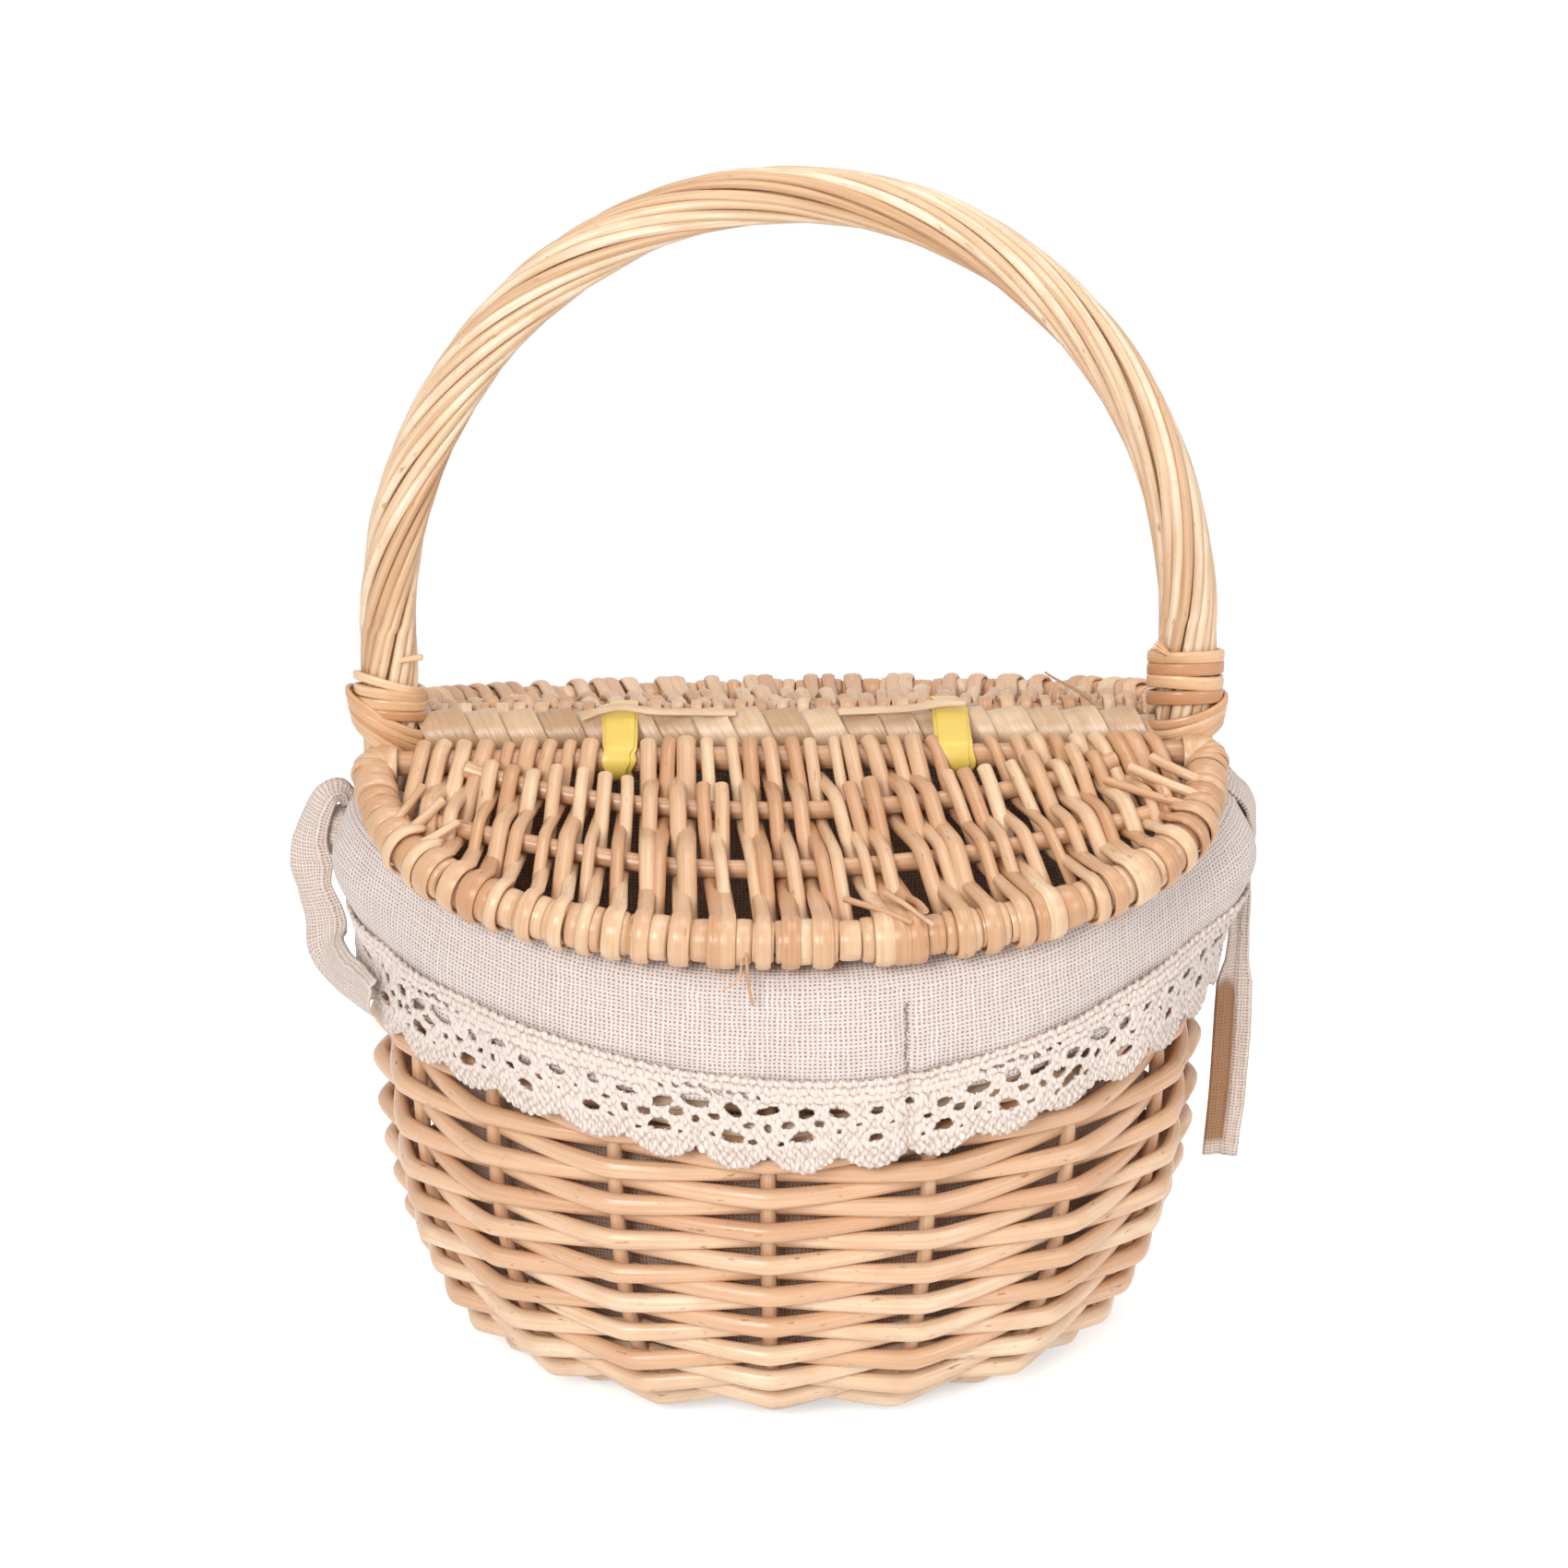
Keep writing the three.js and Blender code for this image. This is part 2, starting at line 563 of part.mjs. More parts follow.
// Handle bow: thin ends inside the wall, full thickness from the rim up
const handleRadius = 0.5 * HANDLE_CORE_DIA + FIT + HANDLE_ROD_DIA;
const archRise = HANDLE_TOP - handleRadius - HANDLE_SPRING;
const rimTop = rimHeight(0) + 0.5 * RIM_DIA;
const rodFoot = rimTop + 2 * FIT;
const archLine = new THREE.CurvePath();
const ARCH_STEPS = 22;
const archPoint = (angle) => vec(-RIM_HALF_LENGTH * cos(angle), 0, HANDLE_SPRING + archRise * sin(angle));
const archCorners = [
  vec(-RIM_HALF_LENGTH, 0, rodFoot),
  ...Array.from({ length: ARCH_STEPS + 1 }, (_, i) => archPoint((PI * i) / ARCH_STEPS)),
  vec(RIM_HALF_LENGTH, 0, rodFoot),
];
for (let i = 1; i < archCorners.length; i++) {
  archLine.add(new THREE.LineCurve3(archCorners[i - 1], archCorners[i]));
}

const SPIKE_STEPS = 4; // the last one is past the top row, still thin
const coreLine = [];
const coreScales = [];
const thin = STAKE_DIA / HANDLE_CORE_DIA;
const spikeLine = (angle) => [
  ...Array.from({ length: SPIKE_STEPS - 1 }, (_, i) =>
    wallPoint(shareAtHeight(lerp(spikeEnd, legFoot, i / (SPIKE_STEPS - 2)), angle), angle)),
  wallPoint(1, angle).setZ(legFoot + 0.5 * WEAVER_DIA),
];
const ARCH_STATIONS = 28;
coreLine.push(...spikeLine(-PI / 2));
for (let i = 0; i <= ARCH_STATIONS; i++) coreLine.push(archLine.getPoint(i / ARCH_STATIONS));
coreLine.push(...spikeLine(PI / 2).reverse());
coreLine.forEach((_, i) => {
  coreScales.push(i < SPIKE_STEPS || i >= coreLine.length - SPIKE_STEPS ? thin : 1);
});
const handleCore = sweep(roundSection(HANDLE_CORE_DIA, 6), coreLine, { scales: coreScales });
addPiece('handle_core', handleCore, WILLOW_DARK);

// Handle rods: laid round the bow in a slow twist
const handleRodSection = roundSection(HANDLE_ROD_DIA, 4);
const rodRing = 0.5 * (HANDLE_CORE_DIA + HANDLE_ROD_DIA) + FIT;
for (let rod = 0; rod < HANDLE_RODS; rod++) {
  const points = [];
  for (let i = 0; i <= ARCH_STATIONS; i++) {
    const along = i / ARCH_STATIONS;
    const ahead = archLine.getPoint(Math.min(along + 0.01, 1));
    const way = ahead.sub(archLine.getPoint(max(along - 0.01, 0))).normalize();
    const side = vec(0, 1, 0);
    const out = side.clone().cross(way);
    const angle = 2 * PI * (HANDLE_TWISTS * along + rod / HANDLE_RODS);
    points.push(archLine.getPoint(along).addScaledVector(out, rodRing * cos(angle))
      .addScaledVector(side, rodRing * sin(angle)));
  }
  addPiece(`handle_rod_${rod + 1}`, sweep(handleRodSection, points), WILLOW);
}

// Windings: one flat strip round a straight rod
function winding(section, radius, pitch, turns, stepsPerTurn, place) {
  const steps = Math.round(turns * stepsPerTurn);
  const points = [];
  const outs = [];
  for (let i = 0; i <= steps; i++) {
    const turn = i / stepsPerTurn;
    const angle = 2 * PI * turn;
    const out = place(cos(angle), sin(angle), 0);
    outs.push(out);
    points.push(place(radius * cos(angle), radius * sin(angle), pitch * turn));
  }
  return { geometry: sweep(section, points, { outs }), points };
}

// Least gap between neighbouring turns of a flat winding, measured from its points
function turnGap(points, stepsPerTurn, width) {
  let least = Infinity;
  for (let i = 0; i + stepsPerTurn < points.length; i++) {
    least = Math.min(least, points[i].distanceTo(points[i + stepsPerTurn]) - width);
  }
  return least;
}

const barHeight = HINGE_HEIGHT + BAR_RISE;
const WIND_STEPS = 10;
const chordRise = 1 / cos(PI / WIND_STEPS); // keeps the middle of a winding's straight steps clear
const skeinRadius = (handleRadius + FIT) * chordRise + 0.5 * SKEIN_THICK;
const skeinFoot = barHeight + 0.5 * BAR_DIA + FIT + 0.5 * SKEIN_WIDTH + 1;
const skeinSection = flatSection(SKEIN_WIDTH, SKEIN_THICK);
for (const [name, side] of [['left', -1], ['right', 1]]) {
  const skein = winding(skeinSection, skeinRadius, SKEIN_WIDTH + SKEIN_GAP, SKEIN_TURNS, WIND_STEPS, vec);
  skein.geometry.translate(side * RIM_HALF_LENGTH, 0, skeinFoot);
  addPiece(`handle_binding_${name}`, skein.geometry, WILLOW);
  const gap = turnGap(skein.points, WIND_STEPS, SKEIN_WIDTH);
  console.log(`handle_binding_${name} least gap`, gap.toFixed(2), 'mm');
}

// Cross bar with its cane band
const barHalf = RIM_HALF_LENGTH - handleRadius - FIT;
const barLine = [vec(-barHalf, 0, barHeight), vec(barHalf, 0, barHeight)];
addPiece('cross_bar', sweep(roundSection(BAR_DIA, 12), barLine), WILLOW_DARK);

const canePitch = CANE_WIDTH + CANE_GAP;
const caneHalf = barHalf - CANE_END - 0.5 * CANE_WIDTH;
const caneTurns = floor((2 * caneHalf) / canePitch);
const caneRadius = (0.5 * BAR_DIA + FIT) * chordRise + 0.5 * CANE_THICK;
const cane = winding(flatSection(CANE_WIDTH, CANE_THICK), caneRadius, canePitch, caneTurns, WIND_STEPS,
  (a, b, up) => vec(up, a, b));
cane.geometry.translate(-0.5 * caneTurns * canePitch, 0, barHeight);
addPiece('cross_bar_cane', cane.geometry, CANE);
console.log('cross_bar_cane least gap', turnGap(cane.points, WIND_STEPS, CANE_WIDTH).toFixed(2), 'mm');

// Hinge ties: a plastic strip round the cross bar and both hinge rods
const tieHull = (grow, width) => {
  const rods = [
    [-HINGE_OFFSET, HINGE_HEIGHT, 0.5 * HINGE_ROD_DIA + HINGE_FIT],
    [HINGE_OFFSET, HINGE_HEIGHT, 0.5 * HINGE_ROD_DIA + HINGE_FIT],
    [0, barHeight, caneRadius + 0.5 * CANE_THICK + FIT],
  ];
  const corners = [];
  for (const [y, z, radius] of rods) {
    for (let i = 0; i < WIND_STEPS; i++) {
      const angle = (2 * PI * (i + 0.5)) / WIND_STEPS;
      const reach = (radius + grow) * chordRise;
      for (const x of [-0.5 * width, 0.5 * width]) {
        corners.push(vec(x, y + reach * cos(angle), z + reach * sin(angle)));
      }
    }
  }
  return new ConvexGeometry(corners);
};
for (const [name, x] of [['left', -TIE_SPREAD], ['right', TIE_SPREAD]]) {
  const band = cut(tieHull(TIE_THICK, TIE_WIDTH), tieHull(0, 2 * TIE_WIDTH));
  addPiece(`hinge_tie_${name}`, band.translate(x, 0, 0), TIE_PLASTIC);
}

const LID_RIB_STEPS = 12;
const lidWeaverSection = ridgedSection(LID_WEAVER_DIA);
for (const [side, turn] of [['front', 0], ['back', PI]]) {
  const facing = new THREE.Group();
  facing.rotation.z = turn;
  basket.add(facing);
  const lid = new THREE.Group();
  lid.position.set(0, -HINGE_OFFSET, HINGE_HEIGHT);
  lid.rotation.x = LID_SLOPE;
  facing.add(lid);
  addPiece(`${side}_lid_hoop`, sweep(roundSection(LID_HOOP_DIA, 6), lidHoopLine), WILLOW_DARK, lid);
  const rodHalf = LID_HALF_LENGTH - 0.5 * LID_HOOP_DIA - FIT;
  const rodLine = [vec(-rodHalf, 0, 0), vec(rodHalf, 0, 0)];
  addPiece(`${side}_lid_hinge_rod`, sweep(roundSection(HINGE_ROD_DIA, 10), rodLine), WILLOW_DARK, lid);
  ['inner', 'outer'].forEach((name, rib) => {
    const half = ribHalf(lidStrokes, rib, LID_WEAVER_DIA);
    const line = spread(-half, half, LID_RIB_STEPS + 1).map((x) => vec(x, -ribDepth(rib, x), 0));
    addPiece(`${side}_lid_rib_${name}`, sweep(roundSection(LID_RIB_DIA, 6), line), WILLOW_DARK, lid);
  });
  addPiece(`${side}_lid_weave`, sweep(lidWeaverSection, lidWeaveLine), WILLOW, lid);
}

// Liner: a bag inside the wall that folds over the rim and hangs down outside as a cuff
const wallHalfThick = weaveReach / cos(atan2(2 * weaveReach, 2 * BASE_HALF_DEPTH * (PI / STAKES)))
  + 0.5 * WEAVER_DIA;
const clothOff = wallHalfThick + FIT + 0.5 * CLOTH;
const bagFloor = 2 * baseHalfThick - BASE_FLAT + FIT + 0.5 * CLOTH;
const around = (place) => Array.from({ length: LINER_COLUMNS }, (_, i) => place(columnAngle(i)));
const rippleOut = (angle, part) => CUFF_RIPPLE * part * (0.5 - 0.5 * cos(CUFF_RIPPLES * (angle + PI / 2)));

const BAG_SHARES = [0.24, 0.46, 0.72, 1];
const foldAngles = [PI, 0.75 * PI, 0.5 * PI, 0.25 * PI, 0];
const CUFF_PARTS = [0.2, 0.6, 1];
const bagRings = [
  around((angle) => offWall(BAG_SHARES[0], angle, -clothOff).multiply(vec(0.7, 0.7, 0)).setZ(bagFloor)),
  ...BAG_SHARES.map((share) => around((angle) => offWall(share, angle, -clothOff))),
];
const foldRings = foldAngles.map((lean) => around((angle) => {
  const centre = rimCentre(angle);
  const out = vec(sin(angle) * RIM_HALF_DEPTH, -cos(angle) * RIM_HALF_LENGTH, 0).normalize();
  return centre.addScaledVector(out, foldRadius * cos(lean)).add(vec(0, 0, foldRadius * sin(lean)));
}));
const cuffShare = (angle, drop) => shareAtHeight(rimCentre(angle).z - drop, angle);
const cuffRings = CUFF_PARTS.map((part) => around((angle) =>
  offWall(cuffShare(angle, CUFF_DROP * part), angle, clothOff + rippleOut(angle, part))));
const liner = shell([...bagRings, ...foldRings, ...cuffRings], CLOTH, true);
const slitHalf = handleRadius + SLIT_MARGIN;
const slitHeight = 4 * RIM_DIA;
const slits = [-1, 1].map((side) =>
  boxAt(2 * slitHalf, 2 * slitHalf, slitHeight, side * RIM_HALF_LENGTH, 0,
    rimHeight(0) - 0.25 * RIM_DIA + 0.5 * slitHeight));
addPiece('liner', cut(liner, ...slits), LINEN);

// Lace: sewn over the cuff's hem, with a scalloped lower edge
const LACE_POINTS = [0, 0.75, 1, 0.75]; // depth of the scallop at its steps
const laceColumns = LACE_SCALLOPS * LACE_POINTS.length;
const laceOff = clothOff + 0.5 * CLOTH + FIT + 0.5 * LACE_THICK;
const laceRing = (drop, scalloped) => Array.from({ length: laceColumns }, (_, i) => {
  const angle = -PI / 2 + (2 * PI * i) / laceColumns;
  const hang = drop + (scalloped ? SCALLOP_DEPTH * LACE_POINTS[i % LACE_POINTS.length] : 0);
  return offWall(cuffShare(angle, hang), angle, laceOff + rippleOut(angle, 1));
});
const laceTop = CUFF_DROP - LACE_LAP;
const lace = shell([laceRing(laceTop, false), laceRing(laceTop + LACE_WIDTH - SCALLOP_DEPTH, true)],
  LACE_THICK, false);
addPiece('lace_trim', lace, LACE);

// Ribbon ties at the slits: each knot sits on the cuff below a leg of the handle
const knotHeight = rimHeight(0) - KNOT_DROP;
const cuffOut = offWall(shareAtHeight(knotHeight, PI / 2), PI / 2, clothOff + 0.5 * CLOTH).x;
const knotOut = cuffOut + FIT + 0.5 * KNOT_DEPTH;
const ribbonSection = flatSection(RIBBON_WIDTH, RIBBON_THICK);

// Hanging ribbons stay clear of the lace: the farthest that it stands out, measured from the knot's middle
const hangHeights = [0, 0.25, 0.5, 0.75, 1].map((part) => knotHeight - part * TAIL_DROP);
const laceFaces = hangHeights.map((height) =>
  offWall(shareAtHeight(height, PI / 2), PI / 2, laceOff + 0.5 * LACE_THICK).x);
const hangOut = max(...laceFaces) + FIT + 0.5 * RIBBON_THICK - knotOut;
const hung = (out, y, part, drop) => [hangOut + out, y, -part * drop];
for (const [name, side] of [['left', -1], ['right', 1]]) {
  const knot = new THREE.SphereGeometry(0.5, 12, 8).scale(KNOT_DEPTH, KNOT_WIDTH, KNOT_WIDTH);
  addPiece(`ribbon_knot_${name}`, knot.translate(side * knotOut, 0, knotHeight), LINEN);
}

// A ribbon follows points given from its knot's middle: outward, along y, up
function ribbon(name, side, run) {
  const line = new THREE.CatmullRomCurve3(
    run.map(([out, y, up]) => vec(side * (knotOut + out), y, knotHeight + up)));
  const points = line.getPoints(3 * (run.length - 1));
  const outs = directionsAlong(points, false).map((way) => vec(0, side, 0).cross(way));
  addPiece(name, sweep(ribbonSection, points, { outs }), LINEN);
}
const knotEdge = 0.5 * KNOT_WIDTH + FIT + 0.5 * RIBBON_THICK;
ribbon('ribbon_loop_left', -1, [
  [0, 0, knotEdge], [6, -1, knotEdge + 3], [10.5, -2, 0],
  hung(11.4, -4, 0.58, LOOP_DROP), hung(8.4, -5, 1, LOOP_DROP), hung(4.9, -5, 0.77, LOOP_DROP),
  hung(4.4, -3, 0.46, LOOP_DROP), [1, -1, -knotEdge - 2],
]);
ribbon('ribbon_loop_right', 1, [
  [0, 0, knotEdge], [4, 1, knotEdge + 4], [7, 2, 2], [6.5, 2, -KNOT_DROP],
]);
ribbon('ribbon_tail_right', 1, [
  [0, 0, -0.5 * KNOT_WIDTH - FIT], hung(3.4, -2, 0.32, TAIL_DROP), hung(4.4, -3, 0.67, TAIL_DROP),
  hung(2.9, -4, 1, TAIL_DROP),
]);

export default basket;
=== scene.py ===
# %% [markdown]
# # A small willow picnic basket
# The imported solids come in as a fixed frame: they say where each piece is and how the two lids swing.
# What the eye sees is drawn again here in fuller detail, rod by rod and stitch by stitch, in the same
# place. Sizes are in millimetres while a piece is worked out, and are turned to metres when its mesh is
# made.

# %% Load the frame
import math
import random

import bpy
import numpy as np
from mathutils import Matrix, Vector


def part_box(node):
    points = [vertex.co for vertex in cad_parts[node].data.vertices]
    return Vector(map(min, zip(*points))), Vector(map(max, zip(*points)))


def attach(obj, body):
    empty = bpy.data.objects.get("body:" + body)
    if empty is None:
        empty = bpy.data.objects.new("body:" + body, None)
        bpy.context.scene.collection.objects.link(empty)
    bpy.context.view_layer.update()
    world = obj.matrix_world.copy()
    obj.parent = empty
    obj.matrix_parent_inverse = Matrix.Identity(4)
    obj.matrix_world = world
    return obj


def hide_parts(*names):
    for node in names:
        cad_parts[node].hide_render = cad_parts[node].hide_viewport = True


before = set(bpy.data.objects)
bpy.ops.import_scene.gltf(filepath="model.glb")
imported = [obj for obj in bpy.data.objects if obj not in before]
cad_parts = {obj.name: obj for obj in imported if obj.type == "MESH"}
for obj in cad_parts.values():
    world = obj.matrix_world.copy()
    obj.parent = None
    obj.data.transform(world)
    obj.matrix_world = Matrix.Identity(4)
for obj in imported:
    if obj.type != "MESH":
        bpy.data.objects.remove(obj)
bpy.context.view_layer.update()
MM = 0.001
dice = random.Random(29)

# %% [markdown]
# ## Camera
# The view could be set by eye, but as numbers its lens, height and distance can be checked and changed.
# The basket was photographed with a long lens from a little above the lids. A long lens keeps the far rim
# almost as large as the near one. The camera stands a little to the left, so the basket's right end is
# higher in the picture.

# %% Camera
ELEVATION = math.radians(21.6)
AZIMUTH = math.radians(-2.2)
DISTANCE = 1.300
AIM = Vector((-0.0012, 0.0, 0.157))
PICTURE_WIDTH = 1700  # pixels
FOCAL_LENGTH = 5350  # in the same pixels
SENSOR = 36.0
lens = bpy.data.cameras.new("long_lens")
lens.sensor_width = SENSOR
lens.lens = SENSOR * FOCAL_LENGTH / PICTURE_WIDTH
lens.clip_end = 50.0
camera = bpy.data.objects.new("camera", lens)
bpy.context.collection.objects.link(camera)
camera.location = AIM + DISTANCE * Vector((
    math.cos(ELEVATION) * math.sin(AZIMUTH), -math.cos(ELEVATION) * math.cos(AZIMUTH), math.sin(ELEVATION)))
camera.rotation_euler = (AIM - camera.location).to_track_quat("-Z", "Y").to_euler()
bpy.context.scene.camera = camera
print("lens", round(lens.lens, 1), "mm")

# %% [markdown]
# ## Colour and nodes
# Colours are written as sRGB hex values, as a paint chart gives them. Shaders want linear light,
# so one function turns them. Materials could be wired by hand in the editor. Here a second function adds
# a node with its settings and links, so that each material reads as a short list from pattern to surface.

# %% Colour and nodes
def linear(hex_colour):
    channels = [int(hex_colour[i:i + 2], 16) / 255 for i in (1, 3, 5)]
    return tuple(c / 12.92 if c <= 0.04045 else ((c + 0.055) / 1.055) ** 2.4 for c in channels) + (1.0,)


def add_node(tree, kind, inputs=None, stops=(), **settings):
    """A node with its settings and links.

    Inputs maps a socket's name or number to a value, to the socket that feeds it or to a node whose first
    output feeds it. Stops are the places and colours of a colour ramp, as hex values or levels of grey.
    """
    made = tree.nodes.new(kind)
    for key, value in settings.items():
        setattr(made, key, value)
    for key, value in (inputs or {}).items():
        socket = made.inputs[key]
        if isinstance(value, bpy.types.Node):
            tree.links.new(value.outputs[0], socket)
        elif isinstance(value, bpy.types.NodeSocket):
            tree.links.new(value, socket)
        else:
            socket.default_value = value
    if stops:
        points = made.color_ramp.elements
        while len(points) < len(stops):
            points.new(0.5)
        for point, (place, colour) in zip(points, stops):
            point.position = place
            point.color = linear(colour) if isinstance(colour, str) else (colour, colour, colour, 1.0)
    return made


def new_material(name):
    material = bpy.data.materials.new(name)
    material.use_nodes = True
    tree = material.node_tree
    tree.nodes.clear()
    return material, tree


print("middle grey is", round(linear("#808080")[0], 3), "in linear light")

# %% [markdown]
# ## Floor, backdrop and light
# The photograph has a plain white ground and very soft light from above and in front. A white floor that
# fades into white away from the basket keeps the soft shadow and shows no horizon. Three large soft lamps
# and a pale world light the basket, so every rod has a gentle highlight along its upper side. A picture of
# a studio could light it too, but lamps can be moved one by one.

# %% Floor and backdrop
FADE_START, FADE_END = 0.16, 0.55  # metres from the middle of the basket
PAPER_LIFT = 0.52  # glow that brings the lit paper up to white
FLOOR_HALF = 8.0
FLOOR_DROP = 0.0004  # keeps the floor just clear of the rods under the base
ROOM_LIGHT = 0.50


def background_rays(tree):
    """1 for rays that show the background: from the camera, and reflected or passed on by a surface."""
    ray = add_node(tree, "ShaderNodeLightPath").outputs
    direct = add_node(tree, "ShaderNodeMath", {
        0: ray["Is Camera Ray"], 1: ray["Is Glossy Ray"]}, operation="MAXIMUM")
    return add_node(tree, "ShaderNodeMath", {
        0: direct, 1: ray["Is Transmission Ray"]}, operation="MAXIMUM")


def white_ground():
    material, tree = new_material("white_studio_paper")
    place = add_node(tree, "ShaderNodeTexCoord").outputs["Object"]
    far = add_node(tree, "ShaderNodeVectorMath", {0: place}, operation="LENGTH").outputs["Value"]
    fade = add_node(tree, "ShaderNodeMapRange", {"Value": far, "From Min": FADE_START, "From Max": FADE_END})
    paper = add_node(tree, "ShaderNodeBsdfDiffuse", {"Color": linear("#f4f4f4")})
    shown = background_rays(tree)
    glow = add_node(tree, "ShaderNodeMath", {0: shown, 1: PAPER_LIFT}, operation="MULTIPLY")
    lift = add_node(tree, "ShaderNodeEmission", {"Color": (1, 1, 1, 1), "Strength": glow})
    lit = add_node(tree, "ShaderNodeAddShader", {0: paper, 1: lift})
    white = add_node(tree, "ShaderNodeEmission", {"Color": (1, 1, 1, 1), "Strength": 1.0})
    seen = add_node(tree, "ShaderNodeMath", {0: shown, 1: fade}, operation="MULTIPLY")
    mixed = add_node(tree, "ShaderNodeMixShader", {0: seen, 1: lit, 2: white})
    add_node(tree, "ShaderNodeOutputMaterial", {"Surface": mixed})
    return material


floor_mesh = bpy.data.meshes.new("floor")
floor_corners = [(FLOOR_HALF * x, FLOOR_HALF * y, 0) for x, y in ((-1, -1), (1, -1), (1, 1), (-1, 1))]
floor_mesh.from_pydata(floor_corners, [], [(0, 1, 2, 3)])
floor = bpy.data.objects.new("floor", floor_mesh)
floor.data.materials.append(white_ground())
floor.location.z = -FLOOR_DROP
bpy.context.collection.objects.link(floor)

world = bpy.data.worlds.new("pale_room")
bpy.context.scene.world = world
world.use_nodes = True
world.node_tree.nodes.clear()
sky_level = add_node(world.node_tree, "ShaderNodeMapRange", {
    "Value": background_rays(world.node_tree), "To Min": ROOM_LIGHT, "To Max": 1.0})
sky = add_node(world.node_tree, "ShaderNodeBackground", {"Color": (1, 1, 1, 1), "Strength": sky_level})
add_node(world.node_tree, "ShaderNodeOutputWorld", {"Surface": sky})
print("floor", 2 * FLOOR_HALF, "m wide")

# %% Lamps
def soft_lamp(name, place, aim, size, watts):
    lamp = bpy.data.lights.new(name, "AREA")
    lamp.shape = "DISK"
    lamp.size = size
    lamp.energy = watts
    made = bpy.data.objects.new(name, lamp)
    made.location = place
    made.rotation_euler = (Vector(aim) - Vector(place)).to_track_quat("-Z", "Y").to_euler()
    bpy.context.collection.objects.link(made)


soft_lamp("soft_lamp_front", (-0.68, -1.62, 1.1), (0, 0, 0.13), 0.8, 24)
soft_lamp("soft_lamp_top", (0.3, 0.0, 1.9), (0, 0, 0.15), 1.2, 12)
soft_lamp("soft_lamp_right", (1.5, -1.1, 0.9), (0, 0, 0.15), 0.9, 9)
bpy.context.scene.view_settings.view_transform = "Standard"

# %% [markdown]
# ## Rods and strips
# Almost everything here is a rod or a strip carried along a path. One function sweeps a section along a
# path and notes, for each point, where it is along and round the rod in millimetres and a tint of its
# own. The willow's shader uses those notes, so the grain runs along each rod and no two rods share a
# colour. A mesh made point by point is chosen over curve objects because it can hold these notes.

# %% Sections and paths
def round_section(sides=10):
    turn = 2 * np.pi * (np.arange(sides) + 0.5) / sides
    return np.stack([np.cos(turn), np.sin(turn)], 1)


def strip_section(width, thick, sides=12, power=0.45):
    """A flat strip with rounded edges."""
    turn = 2 * np.pi * (np.arange(sides) + 0.5) / sides
    c, s = np.cos(turn), np.sin(turn)
    across = 0.5 * width * np.sign(c) * np.abs(c) ** power
    through = 0.5 * thick * np.sign(s) * np.abs(s) ** power
    return np.stack([across, through], 1)


def unit(v):
    return v / np.maximum(np.linalg.norm(v, axis=-1, keepdims=True), 1e-9)


def run_along(path):
    """The length of a path from its start to each of its points."""
    return np.concatenate([[0], np.cumsum(np.linalg.norm(np.diff(path, axis=0), axis=1))])


def smooth_path(points, count):
    """A smooth curve through the points, at count even steps of its length."""
    p = np.asarray(points, float)
    q = np.concatenate([2 * p[:1] - p[1:2], p, 2 * p[-1:] - p[-2:-1]])
    fine = []
    for a, b, c, d in zip(q[:-3], q[1:-2], q[2:-1], q[3:]):
        t = np.linspace(0, 1, 24, endpoint=False)[:, None]
        fine.append(0.5 * (2 * b + (c - a) * t + (2 * a - 5 * b + 4 * c - d) * t ** 2
                           + (3 * b - a - 3 * c + d) * t ** 3))
    fine = np.concatenate(fine + [q[-2:-1]])
    run = run_along(fine)
    at = np.linspace(0, run[-1], count)
    return np.stack([np.interp(at, run, fine[:, k]) for k in range(3)], 1)


def wander(count, reach, size, seed):
    """A smooth random walk of the given size, one value per step, for hand-made unevenness."""
    source = np.random.default_rng(seed)
    knots = source.normal(0, 1, max(4, int(count / reach) + 4))
    at = np.linspace(0, len(knots) - 1.001, count)
    low = at.astype(int)
    part = at - low
    part = part * part * (3 - 2 * part)
    return size * (knots[low] * (1 - part) + knots[np.minimum(low + 1, len(knots) - 1)] * part)


print("a strip 4 mm wide has", len(strip_section(4.0, 1.5)), "points round it")

# %% Sweep
NOTE_SPREAD = 900.0  # each rod's notes start at a place of its own, so no two share a pattern


